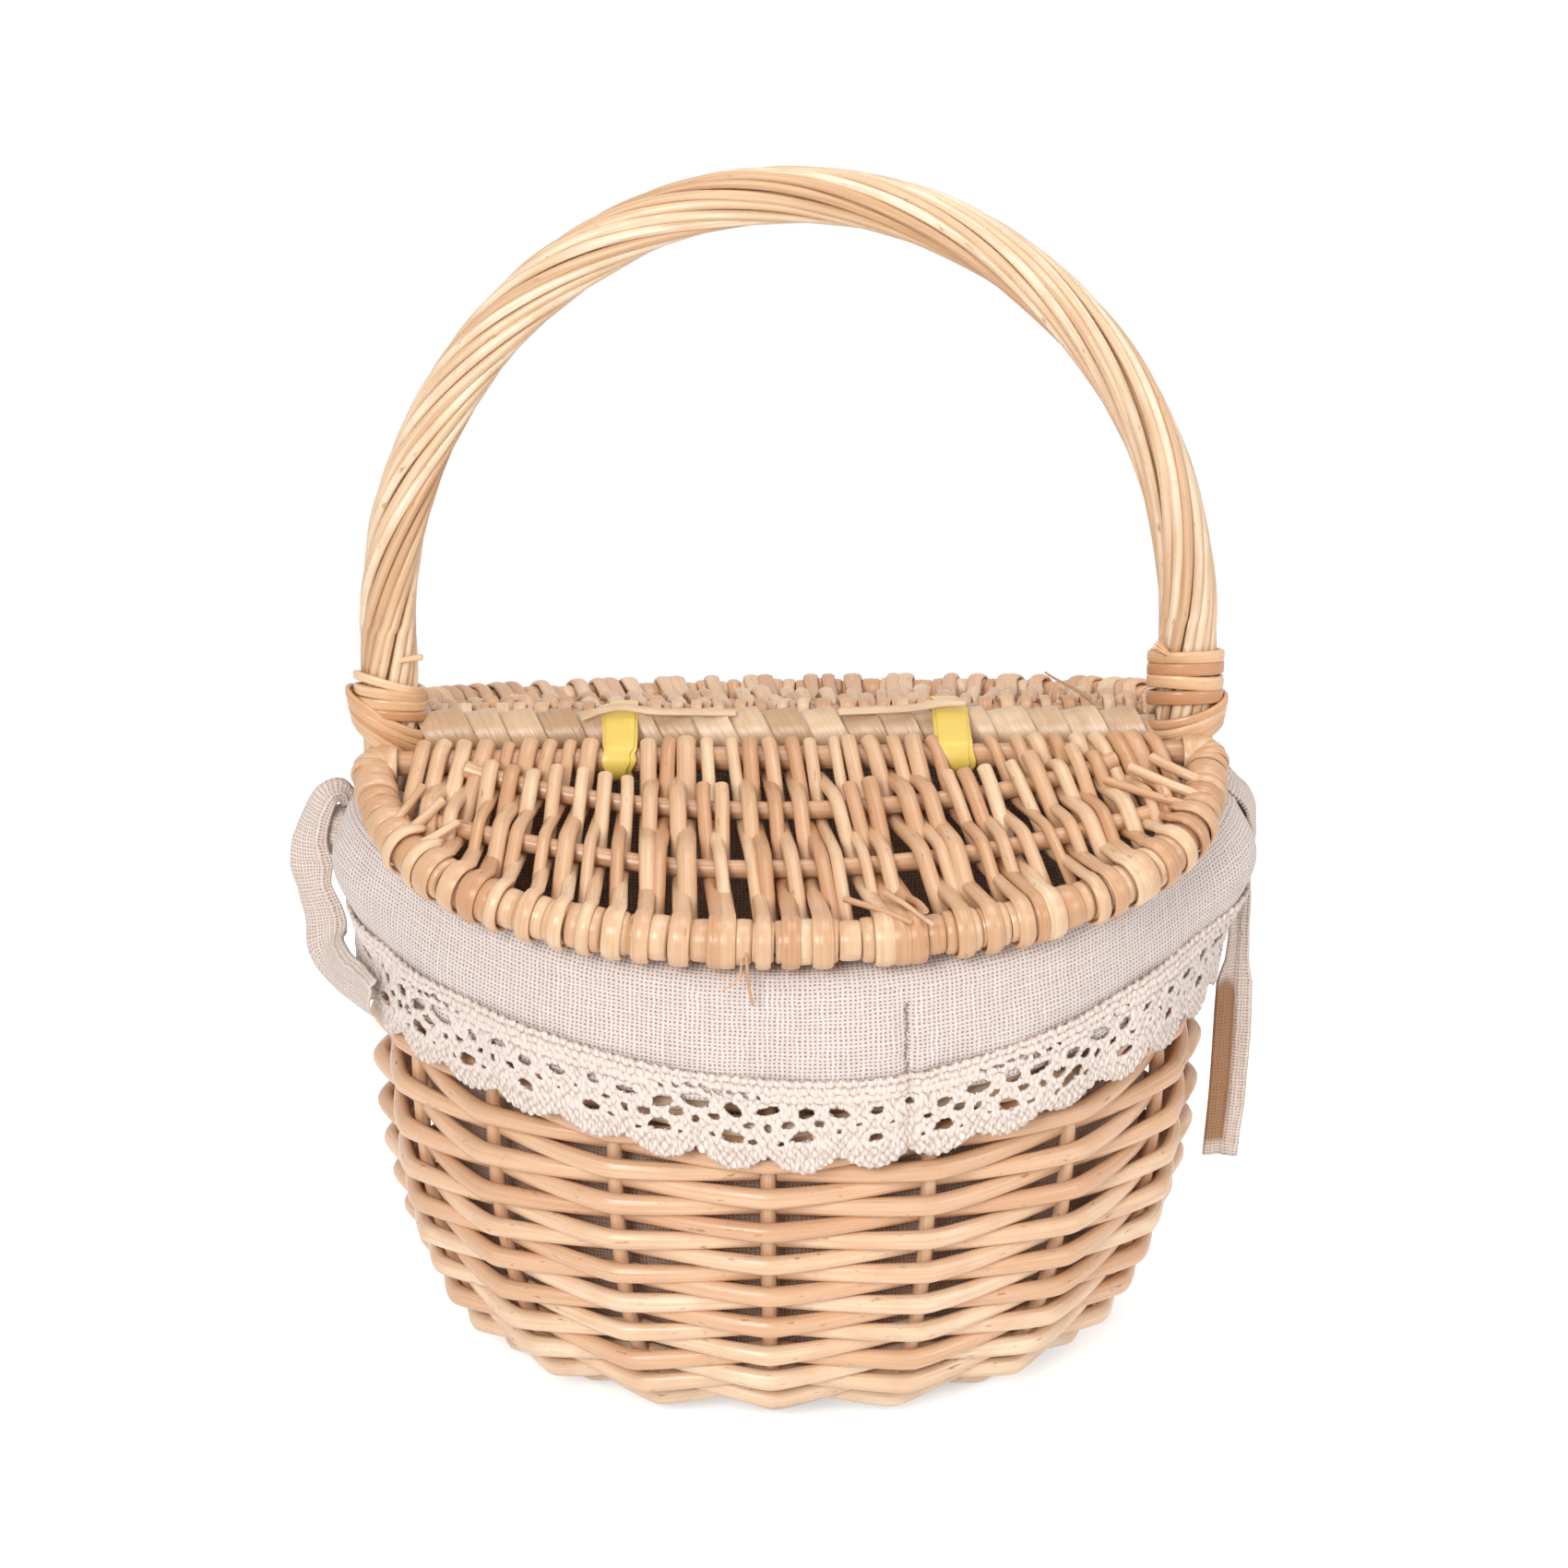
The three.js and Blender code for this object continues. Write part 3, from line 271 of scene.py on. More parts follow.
def sweep(path, section, sizes=1.0, outs=None, closed=False, tint=None):
    """Carries a section along a path; outs faces its y side, or it is carried on without twisting."""
    path = np.asarray(path, float)
    count, sides = len(path), len(section)
    if closed:
        ways = unit(np.roll(path, -1, 0) - np.roll(path, 1, 0))
    else:
        ways = unit(np.gradient(path, axis=0))
    if outs is None:
        outs = np.empty_like(path)
        out = np.array([0, 0, 1.0]) if abs(ways[0][2]) < 0.9 else np.array([1.0, 0, 0])
        for i, way in enumerate(ways):
            out = out - way * (out @ way)
            out = out / np.linalg.norm(out)
            outs[i] = out
    else:
        outs = np.broadcast_to(np.asarray(outs, float), path.shape)
        outs = unit(outs - ways * np.sum(outs * ways, 1)[:, None])
    across = np.cross(outs, ways)
    sizes = np.asarray(sizes, float)
    if sizes.ndim < 2:
        sizes = np.broadcast_to(sizes, (count,))[:, None]
    flat = section[None] * sizes[:, None]
    points = path[:, None] + across[:, None] * flat[..., :1] + outs[:, None] * flat[..., 1:]
    run = run_along(path)
    own = dice.random() * NOTE_SPREAD
    notes = np.empty((count, sides, 3))
    notes[..., 0] = run[:, None] + own
    notes[..., 1:] = flat + own
    ring = np.arange(sides)
    starts = np.arange(count if closed else count - 1)[:, None] * sides
    nexts = (starts + sides) % (count * sides)
    ahead = (ring + 1) % sides
    quads = np.stack([starts + ring, starts + ahead, nexts + ahead, nexts + ring], -1)
    faces = quads.reshape(-1, 4).tolist()
    if not closed:
        faces.append(list(range(sides - 1, -1, -1)))
        faces.append(list(range((count - 1) * sides, count * sides)))
    return {"points": points.reshape(-1, 3), "faces": faces, "notes": notes.reshape(-1, 3),
            "tint": dice.random() if tint is None else tint}


print("each rod's notes start within", NOTE_SPREAD, "mm")

# %% Pieces
SHARP_ANGLE = math.radians(55)


def set_notes(mesh, name, kind, field, values):
    mesh.attributes.new(name, kind, "POINT").data.foreach_set(field, values)


def place_piece(name, mesh, material, body, stands_for, thick=0.0):
    """An object that rides on a body and stands for the named solids; cloth is given a thickness."""
    mesh.polygons.foreach_set("use_smooth", [True] * len(mesh.polygons))
    mesh.materials.append(material)
    piece = bpy.data.objects.new(name, mesh)
    bpy.context.collection.objects.link(piece)
    if thick:
        solid = piece.modifiers.new("thickness", "SOLIDIFY")
        solid.thickness = thick * MM
        solid.offset = 0.0
    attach(piece, body)
    if stands_for:
        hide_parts(*stands_for)
    print(name, len(mesh.polygons), "faces")
    return piece


def make_piece(name, runs, material, body, stands_for=()):
    """One piece from swept runs."""
    points, faces, notes, tints = [], [], [], []
    start = 0
    for run in runs:
        points.append(run["points"])
        notes.append(run["notes"])
        tints.append(np.full(len(run["points"]), run["tint"]))
        faces.extend([[v + start for v in face] for face in run["faces"]])
        start += len(run["points"])
    mesh = bpy.data.meshes.new(name)
    mesh.from_pydata((np.concatenate(points) * MM).tolist(), [], faces)
    set_notes(mesh, "rod", "FLOAT_VECTOR", "vector", np.concatenate(notes).ravel())
    set_notes(mesh, "tint", "FLOAT", "value", np.concatenate(tints))
    piece = place_piece(name, mesh, material, body, stands_for)
    mesh.set_sharp_from_angle(angle=SHARP_ANGLE)
    return piece


print("edges of more than", round(math.degrees(SHARP_ANGLE)), "degrees stay sharp")

# %% [markdown]
# ## Willow and cane
# The rods are peeled white willow, boiled and dried, then woven damp. Peeling leaves a hard satin skin
# with fine streaks along the rod, honey-coloured patches and small brown marks where buds were. The skin
# has the refractive index of wood and a roughness between 0.2 and 0.5. Each rod has a tint of its own
# between pale cream and honey. The grain could be a painted picture, but noise that follows each rod needs
# no file and doesn't repeat. The cane band is made in the same way, greyer and with fewer marks.

# %% Willow and cane
# How often each pattern repeats in a millimetre, along the rod and then across it, and its finest detail.
# Streaks are 0.8 mm wide and 25 mm long, coarser than real grain so that they show. Patches are about
# 12 mm long. The bud marks are the peaks of a pattern that repeats every 4.5 mm.
STREAKS = ((0.04, 1.3, 1.3), 1.0)
PATCHES = ((0.08, 0.16, 0.16), 2.0)
BUD_MARKS = ((0.22, 0.75, 0.75), 2.0)
PATCH_DEPTH, MARK_DEPTH = 0.55, 0.7
TONE_PLACES = (0.0, 0.35, 0.7, 1.0)


def willow(name, tones, mark, roughness, mark_level, grain):
    """Peeled willow in tones from pale to honey, with marks above a level and a strength of grain."""
    material, tree = new_material(name)
    rod = add_node(tree, "ShaderNodeAttribute", attribute_name="rod").outputs["Vector"]
    tint = add_node(tree, "ShaderNodeAttribute", attribute_name="tint").outputs["Fac"]
    streak, patch, bud = [
        add_node(tree, "ShaderNodeTexNoise", {
            "Vector": add_node(tree, "ShaderNodeVectorMath", {0: rod, 1: per_mm}, operation="MULTIPLY"),
            "Scale": 1.0, "Detail": detail})
        for per_mm, detail in (STREAKS, PATCHES, BUD_MARKS)]
    skin = add_node(tree, "ShaderNodeValToRGB", {"Fac": tint}, list(zip(TONE_PLACES, tones)))
    shade = add_node(tree, "ShaderNodeValToRGB", {"Fac": streak}, [(0.3, "#c9a27a"), (0.62, "#ffffff")])
    skin = add_node(tree, "ShaderNodeMix", {0: grain, 6: skin, 7: shade},
                    data_type="RGBA", blend_type="MULTIPLY").outputs[2]
    warm = add_node(tree, "ShaderNodeValToRGB", {"Fac": patch}, [(0.42, 0.0), (0.72, 1.0)])
    spot = add_node(tree, "ShaderNodeValToRGB", {"Fac": bud}, [(mark_level, 0.0), (mark_level + 0.1, 1.0)])
    for where, depth, colour in ((warm, PATCH_DEPTH, tones[-1]), (spot, MARK_DEPTH, mark)):
        share = add_node(tree, "ShaderNodeMath", {0: where, 1: depth}, operation="MULTIPLY")
        skin = add_node(tree, "ShaderNodeMix", {0: share, 6: skin, 7: linear(colour)},
                        data_type="RGBA").outputs[2]
    rough = add_node(tree, "ShaderNodeMapRange", {
        "Value": streak, "To Min": roughness + 0.12, "To Max": roughness - 0.08})
    bump = add_node(tree, "ShaderNodeBump", {"Height": streak, "Strength": 0.35, "Distance": 0.4 * MM})
    shader = add_node(tree, "ShaderNodeBsdfPrincipled", {
        "Base Color": skin, "Roughness": rough, "Normal": bump, "IOR": 1.5, "Specular IOR Level": 0.5})
    add_node(tree, "ShaderNodeOutputMaterial", {"Surface": shader})
    return material


WALL_WILLOW = willow("peeled_willow_wall", ("#f0d9bd", "#e9cbab", "#e1ba97", "#d2a480"), "#8a5530",
                     roughness=0.30, mark_level=0.66, grain=0.28)
HANDLE_WILLOW = willow("peeled_willow_handle", ("#f2dfc6", "#ead1b2", "#dfbf9c", "#cba47e"), "#9a6e44",
                       roughness=0.38, mark_level=0.68, grain=0.45)
LID_WILLOW = willow("peeled_willow_lid", ("#e2c5a2", "#d9b490", "#d0a681", "#c2926b"), "#7a4a2b",
                    roughness=0.28, mark_level=0.68, grain=0.28)
BINDING_WILLOW = willow("split_willow_skein", ("#efcfaa", "#e4bb92", "#d6a67c", "#bd875d"), "#7a4a2b",
                        roughness=0.30, mark_level=0.72, grain=0.25)
CANE = willow("flat_cane_band", ("#dcc2a2", "#d1b493", "#c3a280", "#b08d6b"), "#8c6e4c",
              roughness=0.34, mark_level=0.74, grain=0.22)
print("willow materials:", [m.name for m in bpy.data.materials if "willow" in m.name])

# %% [markdown]
# ## The woven wall
# On the real basket thin rods go round and round the stakes, outside one and inside the next. Because the
# stakes are odd in number, each row crosses the stakes on the other side from the row below. Here every
# rod follows one rising spiral with a wave that bends more sharply at the stakes, and a new rod starts
# behind a stake after a turn or so. One wave could be copied round an oval, but the wall widens as it rises
# and its top follows the lids, so each rod is worked out from the line of the wall.

# %% Line of the wall
# Half lengths (A) and half depths (B) of the ovals that the stakes follow, from the base to the rim
BASE_A, BASE_B = 72.0, 53.0
BELLY_A, BELLY_B, BELLY_Z = 104.8, 80.4, 86.0
RIM_TUCK, RIM_R = 0.8, 5.5
RIM_A, RIM_B = BELLY_A - RIM_TUCK, BELLY_B - RIM_TUCK
ROD, STAKE = 4.9, 4.1
LID_SLOPE = math.radians(16.7)
HINGE_Y, HINGE_Z = 14.5, 170.0
rim_z_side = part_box("rim_front")[1][2] / MM - RIM_R


def lid_line(y):
    return HINGE_Z - np.maximum(0, np.abs(y) - HINGE_Y) * math.tan(LID_SLOPE)


def rim_height(y):
    return lid_line(y) - (HINGE_Z - rim_z_side)


GAP, FOOT_LIFT = 0.3, 0.6
SADDLE_START = 0.45  # up to this share of the wall its rows are level, and above it they follow the lids
WEAVE_BELOW_RIM = RIM_R + GAP + ROD / 2
FRONT_TOP = float(rim_height(RIM_B)) - WEAVE_BELOW_RIM
WALL_FOOT = (ROD + STAKE) / 2 + GAP + ROD / 2 + FOOT_LIFT
bend = np.linspace(-np.pi / 2, 0, 200)
bowl = np.stack([BASE_B + (BELLY_B - BASE_B) * np.cos(bend),
                 BELLY_Z + (BELLY_Z - WALL_FOOT) * np.sin(bend)], 1)
bowl_run = run_along(bowl)
FRONT_LENGTH = bowl_run[-1] + math.hypot(RIM_B - BELLY_B, FRONT_TOP - BELLY_Z)
print("wall along the front:", round(FRONT_LENGTH, 1), "mm, rim at the sides", round(rim_z_side, 1), "mm")

# %% Points of the wall
def wall_point(share, angle):
    """Line of the stakes.

    Share 0 is the base edge and 1 the top row. Angle 0 is the front and a quarter turn is +X.
    """
    share, angle = np.broadcast_arrays(np.asarray(share, float), np.asarray(angle, float))
    run = share * FRONT_LENGTH
    depth = np.interp(run, bowl_run, bowl[:, 0])
    height = np.interp(run, bowl_run, bowl[:, 1])
    spread = (depth - BASE_B) / (BELLY_B - BASE_B)
    length = BASE_A + (BELLY_A - BASE_A) * spread
    up = np.maximum(0, (run - bowl_run[-1]) / (FRONT_LENGTH - bowl_run[-1]))
    length = length + (RIM_A - BELLY_A) * up
    depth = depth + (RIM_B - BELLY_B) * up
    height = height + (FRONT_TOP - BELLY_Z) * up
    lift = lid_line(RIM_B * np.cos(angle)) - lid_line(RIM_B)
    follow = np.maximum(0, (share - SADDLE_START) / (1 - SADDLE_START))
    height = height + lift * follow ** 2 * (3 - 2 * np.minimum(follow, 1))
    return np.stack([length * np.sin(angle), -depth * np.cos(angle), height], -1)


def wall_facing(share, angle):
    step = 0.002
    around = wall_point(share, angle + step) - wall_point(share, angle - step)
    up = wall_point(share + step, angle) - wall_point(np.maximum(share - step, 0), angle)
    return unit(np.cross(around, up))


def off_wall(share, angle, out):
    return wall_point(share, angle) + wall_facing(share, angle) * np.asarray(out)[..., None]


shares_up = np.linspace(0, 1.0, 300)


def share_at_height(height, angle):
    """The share of the wall at which it reaches a height, for each angle."""
    height, angle = np.broadcast_arrays(np.asarray(height, float), np.asarray(angle, float))
    found = [np.interp(h, wall_point(shares_up, a)[:, 2], shares_up)
             for h, a in zip(height.ravel(), angle.ravel())]
    return np.array(found).reshape(height.shape)


print("half way up the front:", wall_point(0.5, 0.0).round(1), "mm")

# %% Stakes round the wall
# On the front half the stakes stand a little to the left of even spacing
FRONT_SPACES, BACK_SPACES, DRIFT = 8, 9, 0.08
STAKES = FRONT_SPACES + BACK_SPACES
even = np.concatenate([-np.pi / 2 + np.pi * np.arange(FRONT_SPACES + 1) / FRONT_SPACES,
                       np.pi / 2 + np.pi * np.arange(1, BACK_SPACES) / BACK_SPACES])
stake_angles = even - np.where(np.arange(STAKES) <= FRONT_SPACES, DRIFT * np.cos(even), 0)
stake_round = np.concatenate([stake_angles, [stake_angles[0] + 2 * np.pi]])


def angle_at(station):
    """Station counts the stakes on from the first, round and round."""
    turn = np.floor(station / STAKES)
    return np.interp(station - turn * STAKES, np.arange(STAKES + 1), stake_round) + 2 * np.pi * turn


print(STAKES, "stakes")

# %% Wall rods
# In the photograph the rows are pressed together, closer than one rod's thickness
ROW_PITCH = 4.75
ROWS = int(FRONT_LENGTH / ROW_PITCH)
STATIONS = ROWS * STAKES
REACH = (ROD + STAKE) / 2 + 0.05
# The stakes give a little, so a rod goes less far in behind a stake than it stands out in front of one
INSIDE = 0.45 * REACH
# A rod is full where it bends round a stake, and thinner half-way, where its neighbours press on it
ROD_DEEP, ROD_HIGH, PRESSED = 0.96 * ROD, 1.14 * ROD, 0.87
# Steps from one stake to the next: close together where the rod bends, wide apart where it is straight
KINK = 0.995  # 1 would be a corner at each stake
BEND_STEPS = np.array([0.0, 0.04, 0.09, 0.16, 0.33, 0.5, 0.67, 0.84, 0.91, 0.96])


def weave_run(first, last, tint):
    station = (np.arange(math.floor(first), math.ceil(last))[:, None] + BEND_STEPS).ravel()
    station = np.concatenate([[first], station[(station > first) & (station < last)], [last]])
    share = station / STATIONS
    wave = np.arcsin(KINK * np.cos(np.pi * station)) / math.asin(KINK)
    count = len(station)
    seed = int(first * 7)
    out = (REACH - INSIDE) / 2 + (REACH + INSIDE) / 2 * wave + wander(count, 30, 0.10, seed)
    path = off_wall(share, angle_at(station), out)
    path[:, 2] += wander(count, 60, 0.20, seed + 1)
    taper = np.linspace(1.03, 0.96, count) + wander(count, 70, 0.02, seed + 2)
    taper = taper * (PRESSED + (1 - PRESSED) * np.abs(wave))
    return sweep(path, round_section(12) * np.array([ROD_DEEP, ROD_HIGH]) / 2, taper, tint=tint)


# A new rod starts inside the wall, where odd stations are, so no end shows outside
ROD_SPANS = (16, 18, 20, 22, 24, 26)  # how many stakes one rod passes
END_GAP = 0.06  # of the way between two stakes
runs = []
place = 0.0
while place < STATIONS - 1:
    length = dice.choice(ROD_SPANS) + (1 if place == 0 else 0)
    end = min(place + length, STATIONS - 0.5)
    runs.append(weave_run(place + END_GAP if place else 0.0, end - END_GAP, dice.random()))
    place = end if end < STATIONS - 1 else STATIONS
wall_nodes = [f"wall_weave_{i}" for i in range(1, 5)]
make_piece("wall_weave", runs, WALL_WILLOW, "basket", wall_nodes)

# %% Wall stakes
# The first stake and the one across from it stop short of the top row, under the handle's feet
runs = []
for i, angle in enumerate(stake_angles):
    top = 1.0 if i not in (0, FRONT_SPACES) else 0.98
    share = np.linspace(0, top, 40)
    path = wall_point(share, angle)
    runs.append(sweep(path, round_section(10) * STAKE / 2, tint=0.55 + 0.4 * dice.random()))
make_piece("wall_stakes", runs, WALL_WILLOW, "basket",
           [f"stake_{i:02d}" for i in range(1, STAKES + 1)])

# %% [markdown]
# ## The woven base and the hidden rim
# The base is a flat oval panel: a bent hoop, three ribs and thin rods that go to and fro round them. The
# rim is a thick rod bent round the top of the wall in two halves, and the cloth hides it. They
# could stay plain solids, but the base shows from below, so both are drawn with the same sweep.

# %% Base
base_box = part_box("base_hoop")
BASE_Z = 0.5 * (base_box[0][2] + base_box[1][2]) / MM
BASE_ROD, BASE_WEAVER = 5.0, 3.0
BASE_LENGTH = base_box[1][0] / MM - BASE_ROD / 2
BASE_DEPTH = base_box[1][1] / MM - BASE_ROD / 2
RIB_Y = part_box("base_rib_3")[1][1] / MM - BASE_ROD / 2
BASE_PASS = (BASE_ROD + BASE_WEAVER) / 2
BASE_STROKES, BASE_COVER = 25, 0.84  # the strokes cover this share of the panel's length
RIB_CLEAR = 8.0  # a rib this near to the hoop is passed with it
TUCK = 0.7  # how far a stroke's end is tucked under, as a share of its pass round the hoop

turn = np.linspace(0, 2 * np.pi, 72, endpoint=False)
hoop = np.stack([BASE_LENGTH * np.cos(turn), BASE_DEPTH * np.sin(turn), np.full(72, BASE_Z)], 1)
runs = [sweep(hoop, round_section(10) * BASE_ROD / 2, closed=True, tint=0.8)]
for y in (-RIB_Y, 0.0, RIB_Y):
    half = BASE_LENGTH * math.sqrt(1 - (y / BASE_DEPTH) ** 2) - BASE_ROD / 2
    runs.append(sweep([(x, y, BASE_Z) for x in (-half, 0, half)], round_section(10) * BASE_ROD / 2))
for i in range(BASE_STROKES):
    x = BASE_COVER * BASE_LENGTH * (2 * i / (BASE_STROKES - 1) - 1)
    edge = BASE_DEPTH * math.sqrt(1 - (x / BASE_LENGTH) ** 2)
    over = 1 if i % 2 else -1
    ribs = [y for y in (-RIB_Y, 0.0, RIB_Y) if abs(y) + RIB_CLEAR < edge]
    crossings = [-edge] + ribs + [edge]
    line = [(x, -edge - TUCK * BASE_PASS, -TUCK * over * BASE_PASS), (x, -edge - BASE_PASS, 0)]
    for c, y in enumerate(crossings):
        line.append((x, y, over * (1 if c % 2 == 0 else -1) * BASE_PASS))
    last = over * (1 if len(crossings) % 2 else -1)
    line += [(x, edge + BASE_PASS, 0), (x, edge + TUCK * BASE_PASS, -TUCK * last * BASE_PASS)]
    path = smooth_path(line, 48) + np.array([0, 0, BASE_Z])
    runs.append(sweep(path, round_section(8) * BASE_WEAVER / 2))
make_piece("base_panel", runs, WALL_WILLOW, "basket",
           ["base_hoop", "base_rib_1", "base_rib_2", "base_rib_3", "base_weave"])

# %% Rim
LEG_GAP = 3.6  # between a half's end and the middle of the handle's leg


def rim_point(angle):
    top = wall_point(np.ones_like(angle), angle)
    return np.stack([top[:, 0], top[:, 1], rim_height(top[:, 1])], 1)


reach_round = math.acos(LEG_GAP / RIM_B)
runs = [sweep(rim_point(turn_by + np.linspace(-reach_round, reach_round, 60)), round_section(12) * RIM_R)
        for turn_by in (0.0, np.pi)]
make_piece("rim_border", runs, WALL_WILLOW, "basket", ["rim_front", "rim_back"])

# %% [markdown]
# ## The twisted handle
# The handle is a bent core with thin rods laid side by side round it in a slow twist of two and a quarter
# turns from foot to foot. Each rod is swept along its own helix round the arch. The rods differ a little
# in thickness and lie a little unevenly, and two short rods are let in on the right, where their cut ends
# stand out. A twist could be painted on one thick tube, but its outline would be smooth, and separate rods
# give the uneven edge of the real one.

# %% Handle
CORE_R = 3.3
HANDLE_SPRING = 200.0
ARCH_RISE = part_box("handle_core")[1][2] / MM - CORE_R - HANDLE_SPRING
ROD_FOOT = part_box("handle_rod_1")[0][2] / MM
STRAND_RING, STRAND_R, STRANDS, TWISTS = 5.95, 1.33, 14, 2.25
TWIST_EASE = 0.09  # the twist is quicker near the left foot
SPIKE_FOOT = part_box("handle_core")[0][2] / MM

arch_turn = np.linspace(0, np.pi, 120)
arch = np.concatenate([
    [(-RIM_A, 0, ROD_FOOT)],
    np.stack([-RIM_A * np.cos(arch_turn), 0 * arch_turn, HANDLE_SPRING + ARCH_RISE * np.sin(arch_turn)], 1),
    [(RIM_A, 0, ROD_FOOT)]])
ARCH_STEPS = 230
arch = smooth_path(arch, ARCH_STEPS + 1)
arch_way = unit(np.gradient(arch, axis=0))
SIDEWAYS = np.array([0, 1.0, 0])
arch_in = np.cross(SIDEWAYS, arch_way)


def strand(place, ring, size, first=0, last=ARCH_STEPS, seed=0):
    """One rod of the handle: place is its share of a turn at the left foot."""
    part = np.arange(first, last + 1) / ARCH_STEPS
    turns = TWISTS * (part + TWIST_EASE * np.sin(np.pi * part)) + place
    angle = 2 * np.pi * turns + wander(len(part), 45, 0.05, seed)
    away = ring + wander(len(part), 40, 0.13, seed + 50)
    points = arch[first:last + 1]
    path = points + away[:, None] * (arch_in[first:last + 1] * np.cos(angle)[:, None]
                                     + SIDEWAYS * np.sin(angle)[:, None])
    return sweep(path, round_section(9) * size, 1 + wander(len(part), 60, 0.04, seed + 90))


print("handle", round(float(run_along(arch)[-1])), "mm long from foot to foot")

# %% Handle rods
LET_IN = int(0.775 * ARCH_STEPS)
LET_IN_RODS = ((0.37, 6.9), (0.44, 6.6))  # share of a turn, and distance from the handle's middle
LET_IN_R = 1.3
runs = [sweep(arch, round_section(12) * (STRAND_RING - 1.2), tint=0.95)]
for i in range(STRANDS):
    runs.append(strand(i / STRANDS, STRAND_RING, STRAND_R * dice.uniform(0.94, 1.1), seed=100 + i))
for place, ring in LET_IN_RODS:
    runs.append(strand(place, ring, LET_IN_R, first=LET_IN, seed=int(place * 1000)))
# The core's thin ends go down into the wall beside the end stakes
for side in (-1, 1):
    heights = np.linspace(SPIKE_FOOT, ROD_FOOT - 8, 8)
    angle = np.full(8, side * np.pi / 2)
    line = wall_point(share_at_height(heights, angle), angle)
    line = np.concatenate([line, [(side * RIM_A, 0, ROD_FOOT)]])
    runs.append(sweep(smooth_path(line, 24), round_section(10) * STAKE / 2, tint=0.8))
make_piece("handle", runs, HANDLE_WILLOW, "basket",
           ["handle_core"] + [f"handle_rod_{i}" for i in range(1, 9)])

# %% [markdown]
# ## Bindings at the handle's feet
# Split willow, called skein, is wound tightly round each foot of the handle and lashed crosswise to the
# cross bar. A skein is half a rod, shaved flat, and is drawn as a strip with rounded edges. Each wrap
# is a closed band with a tilt of its own. One long helix could be wound instead, but separate bands can
# each lie at the height and tilt that the picture shows.

# %% Wraps
BASKET_AXES = ((1, 0, 0), (0, 1, 0), (0, 0, 1))


def band(centre, radii, rise, section, axes=BASKET_AXES, steps=40, sway=0.0, dip=0.0):
    """A closed wrap round a rod: radii across, how far it rises to one side, and how far it dips behind."""
    t = np.linspace(0, 2 * np.pi, steps, endpoint=False)
    a, b, up = (np.asarray(axis, float) for axis in axes)
    outs = np.cos(t)[:, None] * a + np.sin(t)[:, None] * b
    level = rise * np.cos(t) + sway * np.sin(2 * t) - dip * np.sin(t)
    path = (np.asarray(centre, float) + radii[0] * np.cos(t)[:, None] * a + radii[1] * np.sin(t)[:, None] * b
            + level[:, None] * up)
    return sweep(path, section, outs=outs, closed=True)


def skein(width, thick=1.5):
    return strip_section(width, thick, 12, 0.6)


STRAP_DIP = 2.4
LASHING_EASE = 0.4


def straps(x, radii, rows, sway):
    """Level wraps round a foot of the handle, from rows of height, rise and width."""
    return [band((x, 0, z - STRAP_DIP), radii, rise, skein(width), sway=dice.uniform(-sway, sway),
                 dip=STRAP_DIP) for z, rise, width in rows]


def lashings(count, x, low, pitch, rise, width):
    """Slanting wraps, one above another, each less steep than the one below."""
    ease = -math.copysign(LASHING_EASE, rise)
    return [band((x, 0, low + pitch * i), (9.4 + 0.3 * i, 8.2), rise + ease * i, skein(width, 1.3),
                 sway=dice.uniform(-0.5, 0.5)) for i in range(count)]


print("a skein 3 mm wide is", round(float(np.ptp(skein(3.0)[:, 1])), 2), "mm thick")

# %% Bindings
LEFT_STRAPS = ((181.0, -0.6, 2.8), (183.8, -0.9, 2.9), (186.7, -1.3, 3.0), (189.4, -2.4, 2.3))
RIGHT_STRAPS = ((182.9, 0.4, 3.9), (187.0, -0.3, 3.8), (190.7, 0.3, 3.5), (194.0, 0.1, 3.1))
STUB = ((-101.5, -6.0, 195.2), (-95.0, -7.2, 196.6))
STUB_R, FIBRE_R, FIBRES = 0.8, 0.42, 7

runs = straps(-RIM_A, (8.7, 8.2), LEFT_STRAPS, 0.4)
runs += lashings(5, -RIM_A - 0.4, 170.6, 2.1, -7.6, 2.5)
runs.append(sweep(smooth_path(STUB, 6), round_section(8) * STUB_R))
make_piece("handle_binding_left", runs, BINDING_WILLOW, "basket", ["handle_binding_left"])

runs = straps(RIM_A, (9.4, 8.4), RIGHT_STRAPS, 0.3)
runs += lashings(4, RIM_A + 0.6, 169.6, 2.3, 4.4, 2.7)
# The split end of the last wrap spreads into fibres
for i in range(FIBRES):
    fibre = ((98.6, -6.9, 193.8 + 0.2 * i), (96.6, -7.6, 195.4 + 0.45 * i),
             (93.8 + 0.5 * i, -8.0, 196.4 + 0.7 * i))
    runs.append(sweep(smooth_path(fibre, 8), round_section(6) * FIBRE_R, np.linspace(1, 0.6, 8)))
make_piece("handle_binding_right", runs, BINDING_WILLOW, "basket", ["handle_binding_right"])

# %% [markdown]
# ## Cross bar, cane band and hinge ties
# The bar between the handle's feet is wound with flat cane. Each turn is about ten millimetres wide and
# has fine ribs along it. Two short cane strips lie on top. Two strips of yellow plastic go round the bar
# and both hinge rods and let the lids turn. One long strip could be wound along the bar, but turns drawn one
# by one can differ in slant and width, as the real ones do.

# %% Cross bar
BAR_R, BAR_DIP = 5.0, 2.0
bar_low, bar_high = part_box("cross_bar")
BAR_Z = 0.5 * (bar_low[2] + bar_high[2]) / MM
bar_half = bar_high[0] / MM


def bar_z(x):
    """The bar's right end sits a little lower than its left end."""
    return BAR_Z - BAR_DIP * (1 + x / bar_half) / 2


